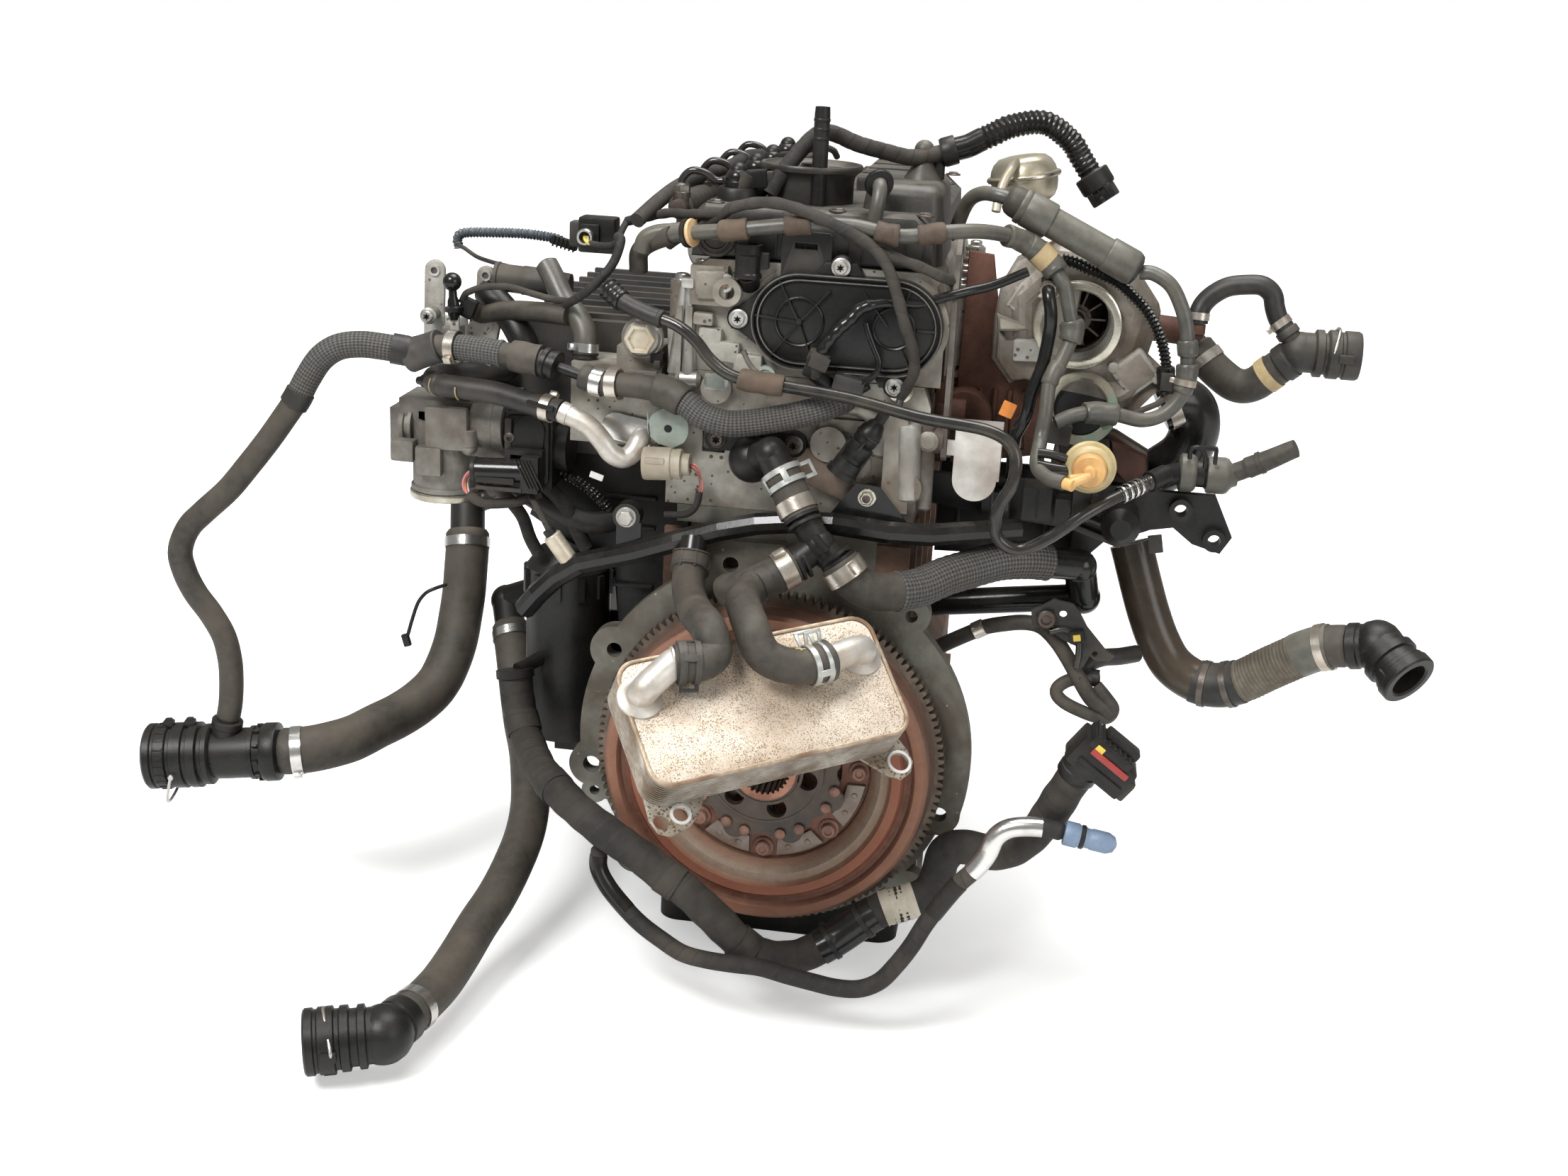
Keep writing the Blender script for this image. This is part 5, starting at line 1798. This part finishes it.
def compressor_details():
    """Inlet ring, shell and pads of the compressor, with the conduit beside it."""
    q = Piece("compressor_look")
    axis = (0, -1, 0)
    q.lathe((TURBO_X, 68, TURBO_Z), axis, [(27.2, -6), (27.2, 0.2), (28.2, 1), (32.6, 1), (34, 0.2),
                                           (34, -6)], brass_lip, 64, caps=(False, False))
    q.lathe((TURBO_X, 69, TURBO_Z), axis, [(26.9, 0), (26.4, -10), (25.6, -26)], alloy_spot, 56,
            caps=(False, False))
    shell = [(146, 348), (149, 372), (160, 394), (178, 405), (203, 402), (214, 388), (205, 300),
             (186, 298), (172, 300), (162, 295), (146, 315)]
    q.plate(shell, 89, 118, alloy_brown, bevel=4.5)
    q.plate([(150, 340), (158, 332), (190, 332), (196, 300), (174, 302), (164, 300), (150, 318)], 80, 90,
            alloy_brown, bevel=3.5)
    q.block((174, 80, 326), (22, 12, 17), alloy_spot, tilted(0.04), 3)
    q.block((165, 88, 366), (11, 3, 22), alloy_spot, ((0.86, 0, -0.5), (0, 1, 0)), 0.8)
    q.block((165, 86.4, 366), (8, 1.4, 18), alloy_brown, ((0.86, 0, -0.5), (0, 1, 0)), 0.4)
    q.plate([(148, 352), (172, 346), (176, 340), (150, 338)], 84, 92, alloy_brown, bevel=2.5)
    q.rod((258, 104, 300), (244, 80, 312), 22, alloy_brown, soft=3)
    q.block((259, 74, 316), (30, 9, 28), alloy_spot, ((0.75, 0, 0.66), (0, 1, 0)), 2.4)
    q.block((259, 69.4, 316), (23, 1.6, 21), alloy_brown, ((0.75, 0, 0.66), (0, 1, 0)), 0.5)
    for a in (1, -1):
        q.rod((259 + 17 * a, 78, 316 - 3 * a), (259 + 17 * a, 69, 316 - 3 * a), 4.4, alloy_spot, soft=0.8)
    q.lathe((220, 66, 286), (0, -1, 0.25), [(21, -12), (21, 0), (22, 1), (27.6, 1), (29, 0), (29, -14)],
            patina, 56, caps=(False, False))
    q.lathe((220, 70, 286), (0, -1, 0.25), [(21, 0), (0.2, 0.4)], dark, 40, caps=(False, False))
    q.rod((222, 110, 292), (220, 74, 286), 26, alloy_dark, soft=3)
    q.block((164, 40, 286), (11, 2.4, 12), wire_col["orange"], tilted(-0.35), 1)
    q.block((166, 46, 281), (5, 14, 5), plastic, bevel=0.8)
    q.block((205, 42, 270), (18, 10, 16), satin, tilted(-0.1), 1.2)
    # thin ribbed conduit that ends in a boot
    q.tube([(195, 60, 401), (206, 62, 398.7), (217, 64, 394), (228, 66, 390), (240, 68, 384.5),
            (251, 70, 376), (263, 70, 365), (272, 70, 352), (278, 70, 338), (282, 68, 324)], 4.6, gloss,
           0.85, 18, convolutes(4.9, 3.4, 1.5))
    q.lathe((281.6, 68, 322), (0.12, 0, -1), [(5, -2), (7, -1), (7.4, 2), (6.6, 16), (7.4, 17),
                                              (7.4, 19)], gloss, 26)
    q.block((283, 61, 313), (9, 3, 14), satin, bevel=0.8)
    q.tube([(284, 68, 304), (280, 66, 296), (268, 62, 290), (250, 58, 282), (236, 60, 276)], 2.4, rubber,
           2.5, 12)
    q.done(slot="raw_alloy")


def valve_group():
    """Check valve, round valve, purge valve, solenoid and relays."""
    q = Piece("vacuum_valves_look")
    c, out = (229, -8, 258), (0, -1, 0)
    q.lathe(c, out, [(18.6, 0), (20, 0.5), (20, 2.6), (19, 3.6), (17.8, 3.8), (18.2, 4.8), (18.2, 6),
                     (17, 6.4)], yellow_pale, 52)
    q.lathe(c, out, [(17, 5.6), (17.6, 7), (16.8, 9), (15, 11), (13.4, 11.4)], yellow_pale, 52,
            caps=(False, False))
    q.lathe(c, out, [(14.6, 10), (13, 11.4), (12.4, 17), (11.4, 18.4), (5.4, 18.8), (4.4, 20), (4, 23.6),
                     (2.4, 24), (0.2, 24)], amber, 44)
    q.rod((227, -27, 255), (215, -28, 252), 3.2, amber, soft=0.4)
    at, d = end_of(BREATHER)
    q.rod(at, at + 8 * d, 4.4, amber, soft=0.4)
    q.rod(at + Vector((6, -4, 0)) * 0.6, (229, -30, 256), 3.6, amber, soft=0.4)
    q.tube([(190, -14, 267), (200, -13, 266), (211, -11, 263)], 3.6, gloss_pipe, 2, 16)
    q.tube([(190, -16, 258), (204, -16, 256), (214, -14, 255)], 4.4, gloss_pipe, 2, 16)
    q.block((226, -5.5, 240), (14, 5, 51), plastic, bevel=0.8)
    q.block((226, 24, 216.5), (14, 54, 5), plastic, bevel=0.8)
    # round valve
    q.lathe((-66, 20.6, 406), out, [(15.4, 0), (16, 0.6), (16, 3.8), (15, 4.8), (13.2, 4.8), (12.6, 3.6),
                                    (11.6, 3.6), (11.2, 4.9), (9.6, 4.9), (9, 3.4), (6.2, 3.4),
                                    (5.8, 4.9), (0.2, 5)], rubber, 48)
    q.block((-66, 15.6, 406), (5, 1, 5), olive, bevel=0.2)
    q.rod((-66, 29.4, 406), (-66, 20, 406), 6, plastic)
    # purge valve
    x = (1, 0, 0)
    q.lathe((300, 56, 244), x, [(9, -0.8), (13.6, 0), (15, 1.2), (15, 9), (14, 11.4), (12, 13)], olive, 40)
    q.lathe((312, 56, 244), x, [(12, 0), (10.4, 0.8), (10.4, 7), (12, 9)], plastic, 36)
    q.lathe((320.6, 56, 244), x, [(11, 0), (14, 0.6), (14.5, 2), (14.5, 14), (13.4, 16.6), (9, 20),
                                  (7, 24)], olive, 40)
    q.tube([(336, 56, 245.4), (343, 55, 248), (352, 53, 253), (366, 49, 261.5), (380, 45.2, 270.6),
            (384, 44, 273)], 8, rubber, 1.6, 24, lambda s, L, a: 7.4 if s < 16
           else 8.5 - 0.035 * (s - 16))
    at = Vector((352, 53, 253))
    d = Vector((32, -9, 20)).normalized()
    q.lathe(at + 8 * d, d, [(8.2, 0), (9, 0.4), (9, 3), (8.2, 3.4)], rubber, 28, closed=True)
    q.lathe(at + 39.2 * d, d, [(5.6, -3), (5.6, -1), (0.2, -1)], dark, 20, caps=(False, False))
    q.rod((286, 38, 243), (301, 56, 244), 8.6, plastic)
    q.tube([(318, 44, 252), (317, 42, 262), (312, 42, 268), (306, 43, 266), (306, 46, 258)], 1.8, plastic,
           2, 10)
    q.block((325, 42, 262), (3, 5, 12), plastic, bevel=0.6)
    q.block((319, 42, 268), (14, 5, 3), plastic, bevel=0.6)
    e, d = end_of(VACUUM)
    q.lathe(e, d, [(6, 0), (8, 0.6), (8, 19), (7, 20)], plastic, 28)
    # solenoid and its neighbours
    q.lathe((258, 52, 206), out, [(14, 0), (15, 1.5), (15, 24), (14.2, 31), (11.4, 38), (6.6, 41.4),
                                  (0.2, 42)], gloss, 40)
    q.block((193, 41, 215), (21.6, 21.6, 25.6), grey_box, bevel=2)
    q.block((193, 29.7, 216), (1, 1, 24), dark, bevel=0.2)
    q.block((213, 43, 210), (11.6, 17.6, 19.6), plastic, bevel=1.4)
    q.block((161, 45, 209), (21.6, 13.6, 21.6), plastic, bevel=1.4)
    for k in range(3):
        q.block((158 + 6 * k, 37, 214), (2, 3, 16), satin, bevel=0.5)
    for px, pz in ((304, 216), (332, 194)):
        q.lathe((px, 51.6, pz), out, [(5.2, -1), (5.2, 1.8), (6, 2.4), (7.4, 2.2), (8, 0)], silver, 30,
                caps=(False, False))
    q.block((288, 50.6, 186), (11, 2, 15), satin, tilted(0.2), 0.8)
    q.block((240, 48, 190), (44, 6, 5), satin, tilted(-0.32), 1.2)
    q.block((243, 47, 200), (30, 4, 3), gloss, tilted(-0.3), 0.8)
    q.block((230, 46, 228), (22, 10, 7), plastic, tilted(-0.2), 1.4)
    q.done("vacuum_valves")


thin_hoses()
vacuum_can()
compressor_details()
valve_group()


# ---- top of the engine, and what hangs right and left -----------------------

CYLINDER_Y = [62 + 88 * k for k in range(4)]
INJECTOR_X = -58
RAIL_X, RAIL_Z = -102, 421


def rocker_cover():
    """Rocker cover with its box, breather disc, stand pipe and injector collars."""
    q = Piece("rocker_cover_look")
    q.plate([(-86, 389.4), (-82, 421), (-76, 429), (84, 429), (98, 417), (100, 389.4)], 21, 388,
            cover_dusty, bevel=5)
    rows = []
    for z, inset in [(389.4, 0), (400, 0), (420, 0), (440, 0)] + [(440 + 9 * math.sin(math.radians(a)),
            9 * (1 - math.cos(math.radians(a)))) for a in range(15, 91, 15)]:
        t = min(1, (z - 389.4) / 60)
        x0, x1, y0, y1 = 34 + 8 * t + inset, 104 - 4 * t - inset, 50 + 10 * t + inset, 180 - 12 * t - inset
        rows.append([Vector((px, py, z)) for px, py in rounded_rect(x1 - x0, y1 - y0, 12 - 0.6 * inset, 6,
                (x0 + x1) / 2, (y0 + y1) / 2)])
    q.grid(rows, cover_dusty, caps=(False, True))
    up = (0, 0, 1)
    q.lathe((80, 118, 448), up, [(15, 0), (14.4, 2), (10.6, 8), (7.4, 14), (6, 18), (6, 22)], cover_dusty, 36)
    q.ball((80, 118, 471), 8, cover_dusty, 26)
    q.lathe((-5, 92, 425), up, [(31, 0), (33, 1), (33.6, 4), (33.6, 20), (34.4, 24), (37, 27),
                                (39.6, 28.4), (40, 30), (40, 32), (39.4, 33), (37, 33), (35, 30),
                                (31, 28.6), (30, 26.4), (29, 18), (0.3, 17.6)], cover_dusty, 76)
    q.lathe((-5, 92, 442), up, [(26, 0), (26, 8), (23, 11), (14, 12.4), (9, 13), (8.4, 16), (0.3, 16.4)],
            satin, 60)
    for k in range(10):
        a = math.radians(36 * k + 12)
        q.block((-5 + 30 * math.cos(a), 92 + 30 * math.sin(a), 450.5), (9, 1.6, 4), satin,
                ((math.cos(a), math.sin(a), 0), (-math.sin(a), math.cos(a), 0)), 0.3)
    q.lathe((5, 60, 427), up, [(6, 0), (6, 70), (5.6, 76), (4.6, 76), (4.4, 60), (0.3, 60)], plastic, 28)
    for k in range(3):
        q.lathe((5, 60, 478 + 7 * k), up, [(6, 0), (6.4, 0.6), (6.4, 2), (6, 2.6)], plastic, 26,
                caps=(False, False))
    for y in CYLINDER_Y:
        q.lathe((INJECTOR_X, y, 427), up, [(16, 0), (16, 10), (14.6, 12), (11.6, 12), (11, 10), (11, 0)],
                plastic, 34, closed=True)
    q.block((45, 285, 434), (50, 190, 14), cover_dusty, bevel=4)
    for k in range(4):
        q.block((45, 215 + 46 * k, 441.4), (44, 3, 2), satin, bevel=0.6)
    at, d = start_of(CONDUIT)
    q.lathe(at + 0.2 * d, d, [(8, -0.2), (11, 0), (11.5, 1), (11.5, 10), (10.6, 12), (6, 12)], plastic, 34)
    q.lathe((92, 121, 449), up, [(5, 0), (5, 15), (4, 16), (0.3, 16)], plastic, 24)
    for x, y in ((-70, 34), (24, 30), (90, 36), (92, 196), (90, 290), (90, 376), (-72, 376), (12, 376)):
        q.bolt((x, y, 429), up, 5, steel_dark, 3)
    # seams and ribs of the front
    q.plate([(-62, 392), (-58, 416), (16, 418), (28, 396)], 18.6, 22, cover_dusty, bevel=1)
    for x in (-42, -20, 2):
        q.block((x, 19, 404), (2, 3, 20), satin, bevel=0.6)
    q.plate([(34, 392), (37, 424), (98, 416), (99, 392)], 18.4, 22, cover_dusty, bevel=1.2)
    for x in (46, 62, 78, 92):
        q.block((x, 18.6, 404), (2, 2, 20), satin, bevel=0.6)
    q.done("rocker_cover")


def fuel_lines():
    """Fuel rail with its pump, and the looms and plugs on top."""
    q = Piece("fuel_rail_look")
    x, z = RAIL_X, RAIL_Z
    q.lathe((x, 46, z), (0, 1, 0), [(4, 0), (7, 0.6), (7, 13), (10, 13.4), (10, 311), (9, 312),
                                    (0.3, 312)], steel_dark, 32)
    for y in CYLINDER_Y:
        q.rod((x, y, z), (x, y, z + 12), 7, steel_dark)
        q.lathe((x, y, z + 11), (0, 0, 1), [(7, 0), (7, 5), (5.4, 7), (3, 8)], steel_dark, 6)
        q.tube([(x, y, 434), (x, y, 442), (x + 7, y, 449), (-84, y, 448), (-76, y, 443), (-70, y, 443)],
               3, gloss_pipe, 1.6, 14)
        q.block((x + 3, y + 29, 402), (24, 10, 22), alloy_dark, bevel=2)
    q.lathe((-126.4, 330, 351), (0, 1, 0), [(14, 0), (20, 0.6), (22, 3), (22, 18), (20, 19), (20, 24),
                                            (22, 25), (22, 47), (20, 50), (0.3, 50)], alloy, 44)
    q.lathe((-126.4, 356, 361), (0, 0, 1), [(13, 0), (13, 20), (11, 21), (11, 26), (13, 27), (12, 34),
                                            (0.3, 34)], alloy_dark, 30)
    q.done("fuel_rail")
    q = Piece("top_looms_look")
    q.tube([(100, 121, 471), (86, 116, 468), (70, 110, 465.4), (51, 100, 469.4), (30, 90, 474.8),
            (11, 84, 482), (0, 80, 481), (-9, 74, 472.5), (-20, 66, 458), (-28, 62, 446), (-33, 60, 436)],
           6.4, tape, 2, 22, loom_shape_of(6.4))
    q.tube([(52.3, 24, 419), (53.8, 24, 431), (55, 26, 441), (54.6, 32, 449.6), (51, 42, 453),
            (45, 54, 451)], 5.6, hose_grey, 1.6, 22)
    q.lathe((53.6, 36, 451), (-0.35, 0.9, 0.2), [(6, -3), (10.6, -2.4), (11.4, 0), (10.6, 2.4), (6, 3)],
            plastic, 34, closed=True)
    q.tube([(-130, 30, 412), (-119, 60, 425), (-113, 110, 432), (-100, 160, 438), (-88, 210, 441),
            (-84, 260, 444), (-82, 330, 440)], 6, tape, 2.4, 18)
    for y in CYLINDER_Y:
        q.block((-45, y, 446), (21, 15, 13.6), plastic, tilted(0.12), 1.6)
        q.block((-33, y, 447.6), (7, 12, 10), satin, tilted(0.12), 1)
        q.tube([(-31, y, 448), (-24, y + 4, 450), (-18, y + 14, 447), (-16, y + 26, 441)], 3, tape, 2.4, 12)
        q.lathe((INJECTOR_X, y, 443), (0, 0, 1), [(9, 0), (9.6, 1), (9.6, 5), (7, 9), (4.5, 10),
                                                  (0.3, 10.4)], gloss, 26)
    q.tube([(-86, 62, 410), (-80, 62, 418), (-66, 61, 427), (-55, 60, 440), (-50, 60, 450)], 8, rubber, 2, 22)
    q.tube([(-62, 90, 424), (-50, 90, 432), (-40, 90, 440), (-34, 92, 452)], 7, rubber_dk, 2, 20)
    q.tube([(-104, 20, 398), (-96, 18, 404), (-88, 20, 408)], 6, tape, 2, 16)
    q.tube([(-124, 20, 390), (-121, 20, 400), (-112, 20, 405), (-100, 20, 407), (-88, 22, 409)], 6.4,
           hose_grey, 1.8, 22)
    q.done(slot="tape")


def loom_shape_of(r):
    """Radius of a loom that is wound with tape."""
    def f(s, L, a):
        return r - 0.35 * max(0.0, math.sin(s * 0.62 + a)) ** 4
    return f


def heater_hose():
    """Heater hose, and the hoses and bracket that hang on the right."""
    q = Piece("heater_hose_look")
    q.tube(HEATER, 14, rubber, 2, 34, soft_end(14))
    q.band(HEATER, -12, 14.3, mark, 9, 0.6, False)
    q.band(HEATER, 14, 14.2, band_steel, 8, 0.8, angle=2.0)
    q.done("heater_hose")
    q = Piece("hanging_hoses_look")
    q.tube([(112, 78, 66), (126, 69, 78), (138, 64, 87), (151, 61, 95.4), (161, 60, 101), (175, 60, 105),
            (192, 60, 108), (206, 58, 106.5), (219, 56, 96), (230, 54, 82), (239, 52, 68.6),
            (251, 50, 52), (262, 50, 45), (268, 50, 39)], 6.4, rubber, 2, 22)
    q.lathe((156, 60, 98.6), (0.86, 0, 0.5), [(6.4, -5), (7.2, -4.6), (7.2, 4.6), (6.4, 5)], band_steel,
            28, closed=True)
    q.tube([(286, 96, 78), (272, 84, 78.4), (258, 76, 78.6), (247, 69, 75), (243.4, 64, 69.6),
            (248, 61, 66.6), (256, 60, 66)], 7.2, rubber_dk, 2, 22)
    q.tube([(256, 60, 66), (246, 58, 65.8), (234, 57, 64), (225, 55, 58.6), (223, 54, 52),
            (230, 52, 45.6), (244, 50, 40.3), (257, 50, 36.8), (266, 50, 37.2), (269.4, 50, 44.9),
            (263, 51, 53.4), (254, 54, 62)], 5.4, rubber, 2, 20)
    outline = [(196.5, 124), (204, 128), (213.5, 135), (229.6, 132), (236, 124), (242, 114), (258.5, 96),
               (266, 91.6), (262, 87), (251, 86), (246, 90), (242, 80), (236, 76), (233, 84), (238, 96),
               (224, 101), (211, 109), (198.2, 111)]
    q.plate(outline, 44, 48, satin, holes=[(206, 119, 3.4), (222, 123, 3), (250, 92, 2.4)], bevel=0.8)
    q.plate([(202, 113), (204, 124), (214, 126), (216, 112)], 40.5, 45, plastic, bevel=0.8)
    q.lathe((209, 41, 119), (0, -1, 0), [(7.4, 0), (7.4, 2), (6.4, 3), (4.4, 3), (4.4, 0.6), (0.3, 0.6)],
            steel_dark, 30)
    q.tube([(213, 43, 108), (222, 42.6, 111), (231, 42.6, 109), (236, 42.6, 102), (237, 43, 92),
            (236, 44, 80)], 2.6, gloss_pipe, 2, 14)
    q.block((234.3, 41, 106.8), (12, 8, 11), plastic, tilted(0.2), 1.6)
    q.block((234.3, 36.6, 106.8), (6, 2, 5.4), wire_col["yellow"], tilted(0.2), 0.8)
    q.rod((238, 48, 70), (250, 58, 62), 3.4, plastic)
    q.done(slot="rubber")


def dark_places():
    """Shield, brackets, hoses and looms behind what stands in front."""
    q = Piece("side_brackets_look")
    # shield over the exhaust manifold, between head and turbocharger
    q.plate([(120, 226), (160, 232), (192, 238), (196, 296), (164, 306), (150, 350), (142, 396),
             (122, 398)], 98, 104, rust_dark, bevel=2.6)
    for k in range(5):
        q.tube([(128 + 12 * k, 97, 236 + 2 * k), (130 + 11 * k, 96, 262), (128 + 12 * k, 97, 290)], 2,
               rust_dark, 3, 10)
    q.tube([(128, 130, 268), (146, 128, 284), (160, 132, 306), (172, 140, 330)], 19, rust_dark, 3, 28)
    # bracket and hoses between throttle, filter and block
    q.plate([(-232, 150), (-214, 206), (-94, 214), (-94, 40), (-150, 30), (-158, 110), (-196, 128)], 98,
            106, plastic, bevel=2)
    q.plate([(-214, 60), (-112, 60), (-112, -76), (-150, -104), (-176, -70), (-196, -10)], 128, 134,
            plastic, bevel=2)
    # bracket behind the valves and the pipes under them
    q.plate([(112, 146), (112, 226), (250, 226), (258, 196), (262, 178), (236, 150)], 112, 118, plastic,
            bevel=2)
    for k in range(5):
        q.block((130 + 24 * k, 109, 190), (4, 7, 62), plastic, bevel=1)
    # housing behind the check valve
    q.plate([(200, 230), (204, 264), (224, 276), (250, 268), (276, 254), (278, 236), (262, 226)], 74, 88,
            pipe_muddy, bevel=4)
    q.plate([(246, 262), (274, 252), (276, 234), (262, 228), (250, 240)], 64, 76, rust_dark, bevel=3)
    q.block((228, 70, 246), (40, 10, 30), plastic, tilted(0.2), 3)
    for k in range(4):
        q.block((-146 + 0.5 * k, 96, 96 + 26 * k), (46, 5, 3), plastic, bevel=0.8)
    q.tube([(-262, 96, 172), (-244, 84, 178), (-226, 72, 176), (-206, 66, 168), (-186, 66, 160),
            (-168, 70, 156), (-150, 84, 158)], 9.5, rubber_dk, 2.4, 24)
    q.tube([(-252, 70, 180), (-238, 60, 172), (-226, 56, 160), (-220, 58, 142), (-214, 62, 128)], 5.4,
           tape, 2.4, 18)
    q.tube([(-244, 88, 196), (-222, 70, 192), (-202, 62, 182), (-190, 62, 168), (-182, 66, 150),
            (-176, 72, 134)], 6.4, tape, 2.4, 18)
    q.tube([(-214, 78, 200), (-196, 72, 196), (-176, 72, 186), (-160, 76, 170), (-148, 84, 150)], 5,
           gloss, 1.1, 18, convolutes(5.2, 3.6, 1.1))
    q.rod((-188, 6, 162.4), (-173.2, 8, 141.4), 7.6, cream_metal, soft=1.4)
    q.rod((-191, 6, 166.6), (-188, 6, 162.4), 5, plastic, soft=0.6)
    q.tube([(-190, 6, 166), (-198, 12, 176), (-206, 22, 182), (-214, 34, 186)], 2.6, tape, 2, 12)
    q.tube([(-327.5, 60, 44), (-323, 60, 60), (-317.8, 60, 74.9), (-311, 60, 84), (-304, 62, 88),
            (-296, 70, 90)], 1.6, plastic, 2.4, 10)
    q.block((-328.6, 60, 40), (6, 5, 11), plastic, tilted(0.3), 1)
    q.done(slot="cover_plastic")


rocker_cover()
fuel_lines()
heater_hose()
dark_places()
